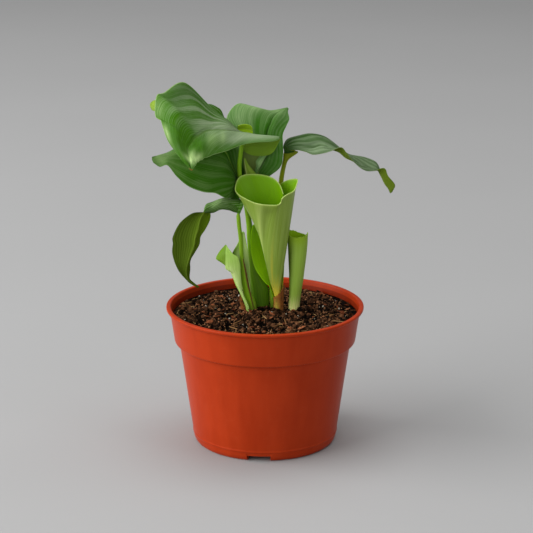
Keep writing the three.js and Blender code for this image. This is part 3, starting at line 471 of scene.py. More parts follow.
def normals(grid):
    """Unit normals of a grid of points: the step across the rows times the step along them."""
    return unit(np.cross(np.gradient(grid, axis=1), np.gradient(grid, axis=0)))


def raised(grid, heights):
    """The grid with each point moved along its normal."""
    return grid + normals(grid) * heights[..., None]


def grid_quads(rows, columns, closed=False):
    """Quads between the neighbours of a grid that is counted row by row; a closed grid also joins
    its last column to its first."""
    i = np.arange(rows - 1)[:, None] * columns
    j = np.arange(columns if closed else columns - 1)
    a = i + j
    b = i + (j + 1) % columns
    return spread(a, b, b + columns, a + columns).reshape(-1, 4)


def shell(grid, half):
    """Closed sheet round a grid of points: one copy of the grid half a thickness out along its
    normals, one half a thickness in, and a strip between their edges."""
    rows, columns = grid.shape[:2]
    shift = normals(grid) * np.broadcast_to(half, (rows, columns))[..., None]
    points = np.concatenate([(grid + shift).reshape(-1, 3), (grid - shift).reshape(-1, 3)])
    outer = grid_quads(rows, columns)
    inner = outer[:, ::-1] + rows * columns
    number = np.arange(rows * columns).reshape(rows, columns)
    edge = np.concatenate([number[0], number[1:, -1], number[-1, -2::-1], number[-2:0:-1, 0]])
    after = np.roll(edge, -1)
    strip = spread(edge, edge + rows * columns, after + rows * columns, after)
    return points, [outer, inner, strip]


def both_sides(**values):
    """Marks for the two copies of a grid in its shell; 'upper' is 1 on the first copy and 0 on
    the second."""
    marks = {name: np.tile(grid, (2,) + (1,) * (grid.ndim - 1)).reshape(-1, *grid.shape[2:])
             for name, grid in values.items()}
    marks["upper"] = np.repeat([1, 0], len(next(iter(marks.values()))) // 2)
    return marks


def closed_tube(rings):
    """Closed tube through rings of points, which turn anticlockwise seen from its far end: quads
    between the rings, and a fan to the middle of the first and of the last."""
    count, sides = rings.shape[:2]
    points = np.concatenate([rings.reshape(-1, 3), rings[:1].mean(1), rings[-1:].mean(1)])
    k = np.arange(sides)
    after = (k + 1) % sides
    last = (count - 1) * sides
    near = spread(count * sides, after, k)
    far = spread(count * sides + 1, last + k, last + after)
    return points, [grid_quads(count, sides, closed=True), near, far]


def joined(parts):
    """One body of points, faces and marks from several."""
    starts = np.cumsum([0] + [len(points) for points, _, _ in parts[:-1]])
    points = np.concatenate([points for points, _, _ in parts])
    faces = [array + start for (_, arrays, _), start in zip(parts, starts) for array in arrays]
    marks = {mark: np.concatenate([part[2][mark] for part in parts]) for mark in parts[0][2]}
    return points, faces, marks


def add_piece(name, points, faces, finish, marks, sharp=40):
    """Mesh object of points in millimetres and of arrays of faces. Marks are named values at its
    points that its material reads; edges sharper than the angle stay crisp."""
    mesh = bpy.data.meshes.new(name)
    mesh.from_pydata((points * MM).tolist(), [], [face for part in faces for face in part.tolist()])
    mesh.shade_smooth()
    mesh.set_sharp_from_angle(angle=math.radians(sharp))
    for mark, values in marks.items():
        vector = values.ndim == 2
        attribute = mesh.attributes.new(mark, "FLOAT_VECTOR" if vector else "FLOAT", "POINT")
        attribute.data.foreach_set("vector" if vector else "value", values.astype(np.float32).ravel())
    mesh.materials.append(finish)
    piece = bpy.data.objects.new(name, mesh)
    bpy.context.scene.collection.objects.link(piece)
    return piece


def dress(piece, node):
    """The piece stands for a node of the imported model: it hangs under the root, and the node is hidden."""
    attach(piece, "root")
    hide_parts(node)


def fit(node, name, finish, body, sharp=40):
    """Makes a piece from a body of points, faces and marks, and dresses a node with it."""
    points, faces, marks = body
    dress(add_piece(name, points, faces, finish, marks, sharp), node)


# Materials


def linear(colour):
    """Linear colour of a screen colour whose numbers go up to 255; a wire stays as it is."""
    if isinstance(colour, Wire):
        return colour
    share = np.array(colour) / 255
    return tuple(np.where(share <= 0.04045, share / 12.92, ((share + 0.055) / 1.055) ** 2.4).tolist())


class Wire:
    """Output of a material node, which can stand in sums and products."""

    def __init__(self, finish, socket):
        self.finish = finish
        self.socket = socket

    def math(self, operation, *others):
        """The wire and the other numbers put through a sum of that kind."""
        return self.finish.made("ShaderNodeMath", dict(enumerate((self,) + others)), operation=operation)

    def __add__(self, other):
        return self.math("ADD", other)

    def __sub__(self, other):
        return self.math("SUBTRACT", other)

    def __mul__(self, other):
        return self.math("MULTIPLY", other)

    def wave(self):
        """From 0 to 1 and back along a cosine: 1 at whole numbers, 0 halfway between them."""
        return (self * (2 * math.pi)).math("COSINE") * 0.5 + 0.5

    def step(self, low, high):
        """0 at low, 1 at high, with smooth ends; low may be the larger."""
        down = int(low > high)
        ends = {"From Min": min(low, high), "From Max": max(low, high), "To Min": down, "To Max": 1 - down}
        return self.finish.made("ShaderNodeMapRange", {"Value": self, **ends},
                                interpolation_type="SMOOTHSTEP")


class Finish:
    """A material of nodes round one Principled shader. Settings go on the shader's own sockets."""

    def __init__(self, name, roughness, shine):
        self.material = bpy.data.materials.new(name)
        self.material.use_nodes = True
        self.tree = self.material.node_tree
        self.shader = self.tree.nodes["Principled BSDF"]
        self.shader.inputs["Roughness"].default_value = roughness
        self.shader.inputs["Specular IOR Level"].default_value = shine

    def join(self, value, socket):
        """Leads a wire to a socket, or sets the socket's own constant."""
        if isinstance(value, Wire):
            self.tree.links.new(value.socket, socket)
        elif isinstance(value, tuple):
            socket.default_value = value + (1,) * (len(socket.default_value) - len(value))
        else:
            socket.default_value = value

    def made(self, kind, inputs, output=0, **settings):
        """Output of a new node with those settings and inputs."""
        node = self.tree.nodes.new(kind)
        for key, value in settings.items():
            setattr(node, key, value)
        for key, value in inputs.items():
            self.join(value, node.inputs[key])
        return Wire(self, node.outputs[output])

    def place(self):
        """Where a point is on the object, in metres."""
        return self.made("ShaderNodeTexCoord", {}, "Object")

    def mark(self, name, kind="Fac"):
        """A named value of the mesh's points."""
        return self.made("ShaderNodeAttribute", {}, kind, attribute_name=name)

    def parts(self, vector):
        """The three numbers of a vector."""
        first = self.made("ShaderNodeSeparateXYZ", {0: vector})
        return [Wire(self, socket) for socket in first.socket.node.outputs]

    def stretched(self, vector, *scales):
        """The vector with each of its numbers scaled."""
        return self.made("ShaderNodeVectorMath", {0: vector, 1: scales}, operation="MULTIPLY")

    def noise(self, vector, scale, detail=2, roughness=0.5):
        """Cloudy numbers round a half."""
        return self.made("ShaderNodeTexNoise", {
            "Vector": vector, "Scale": scale, "Detail": detail, "Roughness": roughness})

    def blend(self, share, first, second):
        """The first colour where the share is 0 and the second where it is 1."""
        inputs = {0: share, 6: linear(first), 7: linear(second)}
        return self.made("ShaderNodeMix", inputs, 2, data_type="RGBA", clamp_factor=True)

    def shaded(self, colour, value):
        """The colour times a number."""
        return self.made("ShaderNodeVectorMath", {0: linear(colour), "Scale": value}, operation="SCALE")

    def done(self, colour, roughness, relief=None, height=0.0):
        """Joins colour, roughness and a relief of that height in millimetres to the shader."""
        self.join(colour, self.shader.inputs["Base Color"])
        self.join(roughness, self.shader.inputs["Roughness"])
        if relief is not None:
            bump = self.made("ShaderNodeBump", {"Distance": height * MM, "Height": relief})
            self.join(bump, self.shader.inputs["Normal"])
        return self.material


def leaf_finish(name, deep, silver, pale, under, rib, gloss=0.45, tip=0.0, lane_width=0.9):
    """A blade: silver stripes between its side veins, silver and pale patches, fine lines along
    the veins, a midrib, and an underside with lighter veins. The stripes and silver patches are
    partly the leaf's own markings and partly painted sheen; the pale patches are painted
    highlights. The mark 'vein' holds the number of the side vein, the place across from -1 to 1,
    and the place along from 0 to 1; the mark 'tone' holds how strong the stripes, the silver and
    the pale patches are; 'shade' is a brightness that paints light and shade on the blade."""
    finish = Finish(name, gloss, 0.09)
    veins = finish.mark("vein", "Vector")
    vein, across, along = finish.parts(veins)
    stripes, silver_and_sheen, painted_highlight = finish.parts(finish.mark("tone", "Vector"))
    shade = finish.mark("shade")
    cloud = finish.noise(finish.place(), 60, 3, 0.55)
    fine = finish.noise(finish.stretched(veins, 34, 3, 2), 1)
    lane = vein + (cloud - 0.5) * 0.4
    strip = lane.wave().step(1 - lane_width, 0.97) - 0.5
    lines = (vein * 7).wave()
    out = across.math("ABSOLUTE")
    # silver stripes and patches: partly the leaf's own markings, partly painted sheen
    silver_and_sheen_share = strip * stripes + silver_and_sheen + (cloud - 0.5) * 0.5 + (fine - 0.5) * 0.7
    top = finish.blend(silver_and_sheen_share, deep, silver)
    # pale patches are painted highlights, and 'shade' paints light and shade as a brightness
    top = finish.blend(painted_highlight + (fine - 0.5) * painted_highlight, top, pale)
    top = finish.shaded(top, (lines * 0.16 + fine * 0.4 + 0.72) * shade)
    midrib = out.step(0.04, 0.012) * along.step(1.0, 0.5)
    top = finish.blend(midrib * 0.6, top, rib)
    top = finish.blend(out.step(0.975, 0.998) * 0.45, top, pale)
    ribs = (lane + lane).wave().step(0.5, 1.0)
    # on the underside too, pale patches are painted highlights and 'shade' paints light and shade
    back = finish.blend(ribs * 0.22 + painted_highlight * 0.8, under, pale)
    back = finish.shaded(back, (fine * 0.4 + 0.8) * shade)
    back = finish.blend(out.step(0.05, 0.02) * 0.3, back, pale)
    colour = finish.blend(finish.mark("upper"), back, top)
    if tip:
        colour = finish.blend(along.step(0.988, 0.997) * tip, colour, DRY_TIP)
    return finish.done(colour, fine * 0.15 + (gloss - 0.08), lines * 0.6 + fine * 0.8, 0.16)


def streaked_finish(name, pale, deep, foot, foot_heights=(104, 116), inside=None, dark=DARK_GREEN,
                    white=WHITISH_GREEN):
    """Young leaves, sheaths and stalks: fine lengthwise streaks of two greens that turn to the
    colour of the foot lower down. The mark 'grain' holds two places round the piece and one along
    it, the mark 'tint' how far it is dark, whitish or like its foot; in places the dark tints are
    painted shade and the whitish ones painted highlights. An inner side may have its own colour."""
    finish = Finish(name, 0.45, 0.18)
    grain = finish.mark("grain", "Vector")
    height = finish.parts(finish.place())[2]
    streaks = finish.noise(finish.stretched(grain, 11, 11, 0.9), 1, 3, 0.6)
    broad = finish.noise(finish.stretched(grain, 2.6, 2.6, 0.6), 1)
    dark_and_shade, whitish_and_highlight, worn = finish.parts(finish.mark("tint", "Vector"))
    colour = finish.blend((streaks * 0.6 + broad * 0.6 - 0.1).step(0.1, 0.9), deep, pale)
    if inside:
        colour = finish.blend(finish.mark("upper"), finish.shaded(inside, broad * 0.2 + 0.9), colour)
    # dark tints are in places painted shade, and whitish tints in places painted highlights
    colour = finish.blend(dark_and_shade, colour, dark)
    colour = finish.blend(whitish_and_highlight + (streaks - 0.5) * whitish_and_highlight, colour, white)
    low, high = foot_heights
    old = (height * 1000 + (streaks - 0.5) * 30).step(high, low)
    colour = finish.blend(old.math("MAXIMUM", worn), colour, finish.shaded(foot, streaks * 0.8 + 0.6))
    return finish.done(colour, streaks * 0.2 + 0.35, streaks, 0.1)


def paper_finish(name, pale, dark, green):
    """Dry papery sheaths: brown, with torn-looking streaks and dark spots; the mark 'tint' holds
    how far it is dark and how far it is still green."""
    finish = Finish(name, 0.75, 0.3)
    streaks = finish.noise(finish.stretched(finish.mark("grain", "Vector"), 7, 7, 1.4), 1, 4, 0.65)
    spots = finish.noise(finish.place(), 420, 3, 0.7)
    tints = finish.parts(finish.mark("tint", "Vector"))
    colour = finish.blend((streaks * 0.7 + spots * 0.6).step(0.45, 0.8), dark, pale)
    colour = finish.blend(tints[0], colour, dark)
    colour = finish.blend(tints[1] + (spots - 0.5) * tints[1], colour, green)
    return finish.done(colour, streaks * 0.2 + 0.65, streaks, 0.3)


def pot_finish():
    """Satin terracotta plastic: faint clouds and upright flow lines, dust that dulls it in
    patches, and a fine orange-peel relief. The inside wall, marked 'inner', is darkened as
    painted shade."""
    finish = Finish("terracotta_plastic", 0.36, 0.08)
    place = finish.place()
    cloud = finish.noise(place, 28, 3)
    flow = finish.noise(finish.stretched(place, 130, 130, 9), 1, 3)
    dust = finish.noise(place, 160, 4, 0.65).step(0.52, 0.8)
    peel = finish.noise(place, 900)
    colour = finish.blend((cloud * 0.6 + flow * 0.5).step(0.3, 0.8), (161, 48, 14), (175, 56, 20))
    colour = finish.blend(dust * 0.06, colour, (186, 96, 66))
    # the inside wall is darkened, as painted shade
    colour = finish.shaded(colour, finish.mark("inner") * -0.45 + 1)
    return finish.done(colour, dust * 0.05 + cloud * 0.05 + 0.32, peel + flow * 0.8, 0.05)


def soil_finish():
    """Moist peat: brown, with grains of many browns, and nearly black in the hollows between the lumps as
    painted shade.
    """
    finish = Finish("moist_peat", 0.95, 0.03)
    place = finish.place()
    cloud = finish.noise(place, 90, 4, 0.6)
    cells = {"Vector": place, "Scale": 420}
    distance = finish.made("ShaderNodeTexVoronoi", cells, "Distance")
    grains = finish.parts(finish.made("ShaderNodeTexVoronoi", cells, "Color"))[0]
    colour = finish.blend(grains.step(0.2, 1.0), (16, 8, 4), (106, 70, 46))
    # the hollows between the lumps are darkened to nearly black, as painted shade
    lumps = (finish.mark("lump") + cloud * 0.6 - 0.3).step(0.25, 0.85)
    colour = finish.blend(lumps, (8, 4, 2), colour)
    relief = distance * -1 + finish.noise(place, 700, 3) * 0.8
    return finish.done(colour, grains * 0.2 + 0.75, relief, 1.1)


def loose_finish(name, dark, light, rough=0.85):
    """Loose bits in the soil, each with its own tone from the mark 'tone', and a grainy skin."""
    finish = Finish(name, rough, 0.05)
    grain = finish.noise(finish.place(), 900, 3, 0.6)
    colour = finish.shaded(finish.blend(finish.mark("tone"), dark, light), grain * 0.9 + 0.55)
    return finish.done(colour, grain * 0.2 + (rough - 0.1), grain, 0.5)


def rhizome_finish():
    """Rootstock: brown corky skin with rings and dark scars."""
    finish = Finish("rhizome_skin", 0.85, 0.3)
    place = finish.place()
    rings = finish.noise(finish.stretched(place, 900, 60, 60), 1, 3)
    scars = finish.noise(place, 260, 3)
    colour = finish.blend(rings.step(0.35, 0.7), (96, 66, 40), (150, 116, 76))
    colour = finish.blend(scars.step(0.6, 0.75), colour, (58, 38, 24))
    return finish.done(colour, scars * 0.2 + 0.75, rings + scars, 0.5)


def floor_finish():
    """Plain pale grey, matt."""
    finish = Finish("pale_floor", 0.9, 0.2)
    cloud = finish.noise(finish.place(), 3)
    return finish.done(finish.blend(cloud, (162, 162, 162), (166, 166, 166)), cloud * 0.05 + 0.85)


# Leaves


def blade_surface(net, rows, columns, soft=0.0):
    """Grid of points on a leaf blade. Smooth curves run its length through the edges, the midrib
    and the crowned middle of each half. Across, a parabola joins the three of each half, which
    folds the blade at its midrib; a soft blade leans by that share to one smooth curve through all
    five. Columns lie closer together at the midrib. Also gives the place along, from 0 to 1, and
    the place across, from -1 to 1."""
    first, midrib, second = (np.array([row[k] for row in net], float) for k in range(3))
    crowns = np.array([row[3:] or [0, 0] for row in net], float)
    along = unit(np.gradient(midrib, axis=0))

    def crowned(start, end, crown):
        """Middles of a half, raised square to it and to the blade's length."""
        return (start + end) / 2 + crown[:, None] * unit(np.cross(end - start, along))

    lines = [first, crowned(first, midrib, crowns[:, 0]), midrib,
             crowned(midrib, second, crowns[:, 1]), second]
    places = np.linspace(0, len(net) - 1, rows)
    lines = np.array([through(line, places) for line in lines])
    across = np.linspace(-1, 1, columns)
    across = np.sign(across) * np.abs(across) ** 1.25
    v = across[None, :, None]
    w = np.abs(v)
    outer = np.where(v < 0, lines[0][:, None], lines[4][:, None])
    half = np.where(v < 0, lines[1][:, None], lines[3][:, None])
    middle = lines[2][:, None]
    folded = outer * w * (2 * w - 1) + half * 4 * w * (1 - w) + middle * (1 - w) * (1 - 2 * w)
    curved = through(lines.reshape(5, -1), 2 + 2 * across).reshape(columns, rows, 3)
    return folded + soft * (curved.transpose(1, 0, 2) - folded), np.linspace(0, 1, rows)[:, None], across


def soft_patches(share, across, spots, base=0.0):
    """Sum of soft round patches on a base value. Each is given as its place along and across, its
    half sizes along and across, and its strength."""
    total = base + 0 * share * across
    for middle, side, long, wide, strength in spots:
        total += strength * np.exp(-((share - middle) / long) ** 2 - ((across - side) / wide) ** 2)
    return total


def side_veins(share, across, halves):
    """Number of the side vein at each point. On each half it is a number times the place across
    over a width, plus a start, and the widths and starts change along the leaf."""
    numbers = []
    for outward, widths, starts in halves:
        wide, start = (through(values, share * (len(values) - 1)) for values in (widths, starts))
        numbers.append(outward * np.abs(across) / wide + start)
    return np.where(across < 0, *numbers)


def blade_relief(vein, share, across, stripes, groove, swell):
    """Height over the plain blade: a groove along the midrib that fades to the tip, and a low
    swelling under every silver stripe."""
    middle = -groove * np.exp(-(across / 0.04) ** 2) * step(share, 1.0, 0.75)
    calm = step(np.abs(across), 0.0, 0.15) * step(np.abs(across), 1.0, 0.85)
    ends = step(share, 0.0, 0.12) * step(share, 1.0, 0.88)
    return middle + swell * stripes * np.cos(2 * math.pi * vein) * calm * ends


def thinned(share, across, half):
    """Half the thickness of a blade: thin at its two margins and at its ends."""
    along = step(share, 0, 0.02) * step(share, 1, 0.98)
    return half * (0.5 + 0.5 * along) * (0.35 + 0.65 * step(np.abs(across), 1.0, 0.94))


def blade(net, rows, columns, halves, tones, soft=0.0, groove=0.4, swell=0.2):
    """Points, faces and marks of a leaf blade with its relief."""
    grid, share, across = blade_surface(net, rows, columns, soft)
    vein = side_veins(share, across, halves)
    stripes, silver, pale, shade = (
        soft_patches(share, across, *tones.get(name, ([], base)))
        for name, base in (("stripes", 0.3), ("silver", 0.3), ("pale", 0.0), ("shade", 1.0)))
    grid = raised(grid, blade_relief(vein, share, across, stripes, groove, swell))
    marks = both_sides(vein=spread(vein, across, share), tone=spread(stripes, silver, pale),
                       shade=np.clip(shade, 0.3, 2))
    return (*shell(grid, thinned(share, across, HALF_BLADE)), marks)


def lobe(net, **tones):
    """A small plain bit of blade, all of one tone, without grooves or swellings."""
    tones = {name: ([], value) for name, value in tones.items()}
    return blade(net, 24, 25, PLAIN_VEINS, tones, groove=0.0, swell=0.0)


# Stalks and sheaths


def stalk(foot, stations, rings=110, beyond=0.0, sides=28):
    """Closed stalk of level ellipses: straight up inside the soil, then through the stations,
    with a domed end that may reach a little beyond the last one."""
    x, y, half_x, half_y = foot
    sections = [[x, y, height, half_x, half_y] for height in FOOT_HEIGHTS] + stations
    x, y, height, half_x, half_y = through(sections, np.linspace(0, len(sections) - 1, rings)).T[..., None]
    turn = round_turn(sides)
    ribs = 1 + 0.018 * np.cos(5 * turn + 0.7) + 0.012 * np.cos(9 * turn)
    share = np.linspace(0, 1, rings)[:, None]
    dome = np.sqrt(np.minimum(np.clip(1 - (1 - share) ** 40, 0.02, 1), np.clip(1 - share**40, 0.04, 1)))
    grid = spread(x + half_x * dome * (ribs * np.cos(turn)),
                  y + half_y * dome * (ribs * np.sin(turn)), height)
    grid[-1, :, 2] += beyond
    points, faces = closed_tube(grid)
    length = height / GRAIN_LENGTH
    grain = spread(np.cos(turn), np.sin(turn), length).reshape(-1, 3)
    grain = np.concatenate([grain, [[0, 0, length[0, 0]], [0, 0, length[-1, 0]]]])
    return points, faces, {"grain": grain, "tint": np.zeros(points.shape), "upper": np.ones(len(points))}


def sheet(grid, half, across_scale, tints=None):
    """Points, faces and marks of a thin sheet whose grain runs along it. Its tints are soft
    patches of dark, of white and of the colour of its foot; some dark patches are painted shade
    and some white ones painted highlights."""
    rows, columns = grid.shape[:2]
    share, across = np.linspace(0, 1, rows)[:, None], np.linspace(-1, 1, columns)
    line = grid[:, columns // 2]
    length = np.cumsum(np.linalg.norm(np.diff(line, axis=0, prepend=line[:1]), axis=1))[:, None]
    spots = [(tints or {}).get(name, []) for name in ("dark", "white", "worn")]
    tint = np.clip(spread(*(soft_patches(share, across, part) for part in spots)), 0, 1)
    grain = spread(across * across_scale, 0, length / GRAIN_LENGTH)
    return (*shell(grid, half), both_sides(grain=grain, tint=tint))


def ribbed_blade(net, rows, columns, ribs, depth, tints=None, half=0.3):
    """A small blade or a piece of sheath, with fine ribs that run its length: a cosine across."""
    grid, share, across = blade_surface(net, rows, columns)
    grid = raised(grid, np.tile(depth * np.cos(math.pi * ribs * across), (rows, 1)))
    return sheet(grid, thinned(share, across, half), 2.0, tints)


def torn_front(rows=110, columns=49):
    """The front of the torn sheath. The half before its midrib, beyond a share of the length, is
    the folded flap, which is dark."""
    # the white patch on the front is a painted sheen
    body = ribbed_blade(TORN_FRONT, rows, columns, 12, 0.07, {"white": [(0.3, 0.3, 0.3, 0.6, 0.7)]})
    along = step(np.linspace(0, 1, rows)[:, None], TORN_FLAP_START - 0.03, TORN_FLAP_START + 0.03)
    body[2]["tint"][:, 0] = np.tile((along * (np.linspace(-1, 1, columns) < 0)).ravel(), 2)
    return body


def ring_point(ring, turn_degrees):
    """Point of a level spiral: an ellipse that grows evenly with the share of the whole turn."""
    x, y, z, half_x, half_y, growth = ring
    size = 1 + growth * (turn_degrees - CONE_TURN[0]) / (CONE_TURN[1] - CONE_TURN[0])
    turn = np.radians(turn_degrees)
    return spread(x + half_x * size * np.cos(turn), y + half_y * size * np.sin(turn), z)


def cone_surface(rows, columns):
    """Grid of points on the rolled leaf: each upright line is a parabola from the foot ring by
    the waist ring to the rim, and near the rim the edge turns out a little."""
    up = np.linspace(0, 1, rows)[:, None, None]
    share = np.linspace(0, 1, columns)
    foot = ring_point(CONE_FOOT, CONE_TURN[0] + CONE_FOOT_TURN * share)
    waist = ring_point(CONE_WAIST, CONE_TURN[0] + (CONE_TURN[1] - CONE_TURN[0]) * share)
    rim = through(CONE_RIM, share * (len(CONE_RIM) - 1))
    grid = foot * (1 - up) * (1 - 2 * up) + waist * 4 * up * (1 - up) + rim * up * (2 * up - 1)
    up = up[:, :, 0]
    veins = 0.04 * np.cos(2 * math.pi * share * 46) * step(up, 0.1, 0.3)
    flare = 0.9 * step(share, 0.5, 0.62) * step(share, 1.0, 0.85) * step(up, 0.93, 1.0) ** 1.5
    return raised(grid, veins + flare)


def rolled_surface(sections, turn, rim, rows, columns, ragged, seed):
    """Grid of points on a rolled sheath: it follows an open ellipse from a level foot to a rim
    whose height changes round the turn, with small random teeth."""
    share = np.linspace(0, 1, columns)
    top = through(rim, share * (len(rim) - 1)) + ragged * patches(share * 100, 0 * share, 2.2, seed)
    bottom = sections[0][2]
    height = bottom + (top - bottom) * np.linspace(0, 1, rows)[:, None]
    places = np.interp(height, [section[2] for section in sections], np.arange(len(sections)))
    x, y, _, half_x, half_y = np.moveaxis(through(sections, places), -1, 0)
    angle = np.radians(turn[0] + (turn[1] - turn[0]) * share)
    return spread(x + half_x * np.cos(angle), y + half_y * np.sin(angle), height)


# Pot


def rounded(profile, steps=5):
    """Outline of points that are given as radius, height and rounding: each corner becomes a
    curve between points that far to either side of it, along a parabola."""
    points = np.array([corner[:2] for corner in profile], float)
    outline = []
    share = np.linspace(0, 1, steps)[:, None]
    for before, here, after, corner in zip(points, points[1:], points[2:], profile[1:]):
        if corner[2] == 0:
            outline.append(here[None])
            continue
        start = here + unit(before - here) * corner[2]
        end = here + unit(after - here) * corner[2]
        outline.append(start * (1 - share) ** 2 + here * 2 * share * (1 - share) + end * share**2)
    return np.concatenate(outline)


def pot_outline():
    """Profile of the pot from the edge of its pad, up its outside, over the rim and down its
    inside to its floor."""
    collar = POT_HEIGHT - COLLAR_HEIGHT
    floor = CHANNEL + WALL
    lip = POT_HEIGHT - LIP
    body = lambda height: BODY_FOOT + (BODY_TOP - BODY_FOOT) * (height - CORNER) / (collar - CORNER)
    return rounded([
        [0, 0, 0],
        [PAD_RADIUS, 0, 0.4],
        [PAD_RADIUS + 1.5, CHANNEL, 0.5],
        [RING_RADIUS - 1, CHANNEL, 0.3],
        [RING_RADIUS, 0, 0.3],
        [GROUND_RADIUS - 0.5, 0, 0.2],
        [GROUND_RADIUS + 0.9, 1, 0.5],
        [GROUND_RADIUS + 2, 3.5, 0.8],
        [BODY_FOOT - 0.2, CORNER - 1.2, 0.4],
        [BODY_FOOT + 0.25, CORNER - 0.5, 0.25],
        [BODY_FOOT + 0.25, CORNER + 0.3, 0.25],
        [BODY_FOOT + 0.05, CORNER + 1, 0.4],
        [body(30), 30, 0],
        [body(55), 55, 0],
        [BODY_TOP, collar - 1, 0.5],
        [BODY_TOP + 1, collar, 0.4],
        [COLLAR_FOOT - 0.1, collar, 0.9],
        [COLLAR_FOOT + 0.3, collar + 1.6, 0.8],
        [(COLLAR_FOOT + COLLAR_TOP) / 2, (collar + lip) / 2, 0],
        [COLLAR_TOP, lip - LIP_SLANT, 0.6],
        [RIM_RADIUS - 0.1, lip, 0.7],
        [RIM_RADIUS, POT_HEIGHT - 0.1, 0.9],
        [MOUTH_RADIUS, POT_HEIGHT, 0.8],
        [COLLAR_TOP - WALL, lip - LIP_SLANT - 1, 0.8],
        [COLLAR_FOOT - WALL, collar + WALL, 0.5],
        [BODY_TOP - WALL, collar + WALL, 0.5],
        [BODY_TOP - WALL, collar - 1, 0.4],
        [BODY_FOOT - WALL, CORNER + 1, 1],
        [BODY_FOOT - WALL - 1.5, floor, 0.8],
        [0, floor, 0],
    ])


def notch_turns(sides):
    """Turns round the pot, with a close pair at each side of each notch, and whether each turn
    lies in a notch."""
    half = math.degrees(math.asin(NOTCH_WIDTH / 2 / GROUND_RADIUS))
    middles = FRONT_NOTCH + 360 / NOTCHES * np.arange(NOTCHES)
    edges = np.concatenate([middles - half, middles + half])
    turns = np.concatenate([np.arange(sides) * 360 / sides, edges - 0.01, edges + 0.01]) % 360
    turns = np.unique(np.round(turns, 4))
    away = np.abs((turns[:, None] - middles + 180) % 360 - 180).min(1)
    return np.radians(turns), away < half


def pot_body(sides=240):
    """The profile turned round the axis. In a notch, the points of the foot ring that lie under
    the notch's top are lifted to it."""
    outline = pot_outline()
    radius, height = outline[:, :1], outline[:, 1:]
    turns, notched = notch_turns(sides)
    number = np.arange(len(outline))[:, None]
    top = np.argmax(height)
    lifted = (number < top) & (radius > RING_RADIUS - 2) & notched
    height = np.where(lifted, np.maximum(height, NOTCH_HEIGHT), height)
    # the mark 'inner' is 1 on the pot's inside, which its finish darkens as painted shade
    inner = np.repeat(number > top + 6, len(turns)).astype(float)
    grid = spread(radius * np.cos(turns), radius * np.sin(turns), height)
    return (*closed_tube(grid), {"inner": np.concatenate([inner, [0, 1]])})


def drilled(piece):
    """The piece with the round drain holes cut through the floor of its channel."""
    middle = (PAD_RADIUS + RING_RADIUS) / 2
    circle = DRAIN_RADIUS * np.array([np.cos(round_turn(24)), np.sin(round_turn(24))])
    levels = np.array([[CHANNEL - 2], [CHANNEL + WALL + 2]])
    bars = []
    for turn in np.radians(FRONT_NOTCH + 360 / DRAIN_HOLES * np.arange(DRAIN_HOLES)):
        points, faces = closed_tube(spread(
            middle * math.cos(turn) + circle[0], middle * math.sin(turn) + circle[1], levels))
        bars.append((points, faces, {"inner": np.zeros(len(points))}))
    points, faces, marks = joined(bars)
    cutter = add_piece("drain_bars", points, faces, piece.data.materials[0], marks)
    cut = piece.modifiers.new("drain_holes", "BOOLEAN")
    cut.operation = "DIFFERENCE"
    cut.object = cutter
    cut.solver = "EXACT"
    shape = bpy.data.meshes.new_from_object(piece.evaluated_get(bpy.context.evaluated_depsgraph_get()))
    piece.modifiers.clear()
    piece.data = shape
    bpy.data.objects.remove(cutter)
    return piece


# Soil


def soil_top(x, y):
    """Height of the soil: a mound, cosine to the power one and a half, with lumps of four sizes.
    Also gives the lumps alone."""
    radius = np.hypot(x, y)
    mound = SOIL_MOUND * np.cos(np.clip(radius / SOIL_REACH, 0, 1) * math.pi / 2) ** 1.5
    lumps = sum(high * patches(x, y, size, seed) for seed, (high, size) in enumerate(SOIL_LUMPS, 1))
    return SOIL_EDGE + mound + lumps * step(radius, SOIL_REACH, SOIL_REACH - 9), lumps


def wall_radius(height):
    """Inside of the pot's collar at that height."""
    span = COLLAR_HEIGHT - WALL - LIP - LIP_SLANT - 1
    share = (height - (POT_HEIGHT - COLLAR_HEIGHT + WALL)) / span
    return COLLAR_FOOT - WALL + (COLLAR_TOP - COLLAR_FOOT) * share


def soil_body(sides=340, rings=105):
    """The soil turned round the axis: a plain underside and flank clear of the pot, and a top
    whose heights come from the mound and its lumps."""
    turn = round_turn(sides)
    collar = POT_HEIGHT - COLLAR_HEIGHT
    low = CHANNEL + WALL + 0.3
    ledge = collar + WALL + 0.5
    flank = np.array([[3, low], [BODY_FOOT - WALL - 2.2, low], [BODY_FOOT - WALL - 0.5, CORNER + 1.6],
                      [BODY_TOP - WALL - 0.5, collar - 1], [BODY_TOP - WALL - 0.5, ledge],
                      [wall_radius(ledge) - 0.4, ledge]])
    edge = wall_radius(SOIL_EDGE) - 0.25
    radius = np.concatenate([flank[:, 0], edge * np.linspace(1, 0.012, rings)])[:, None]
    x, y = radius * np.cos(turn), radius * np.sin(turn)
    height, lumps = soil_top(x, y)
    height[:len(flank)] = flank[:, 1:]
    lumps[:len(flank)] = -1
    lump = np.concatenate([lumps.ravel(), [-1, 0]]) * 0.25 + 0.5
    return (*closed_tube(spread(x, y, height)), {"lump": lump})


def ball(around=6, rings=3):
    """Points and faces of a coarse ball of radius 1."""
    tilt = math.pi * (np.arange(rings)[:, None] + 1) / (rings + 1)
    turn = round_turn(around)
    ball_rings = spread(np.sin(tilt) * np.cos(turn), np.sin(tilt) * np.sin(turn), -np.cos(tilt))
    points, faces = closed_tube(ball_rings)
    points[-2:] = [[0, 0, -1], [0, 0, 1]]
    return points, faces


def fibre(sides=5, rings=9):
    """A thin closed tube of length 2 along x and radius 1, narrower towards its two ends."""
    place = np.linspace(-1, 1, rings)[:, None]
    thin = np.sqrt(np.clip(1 - place**6, 0.1, 1))
    turn = round_turn(sides)
    return closed_tube(spread(place, thin * np.cos(turn), thin * np.sin(turn)))


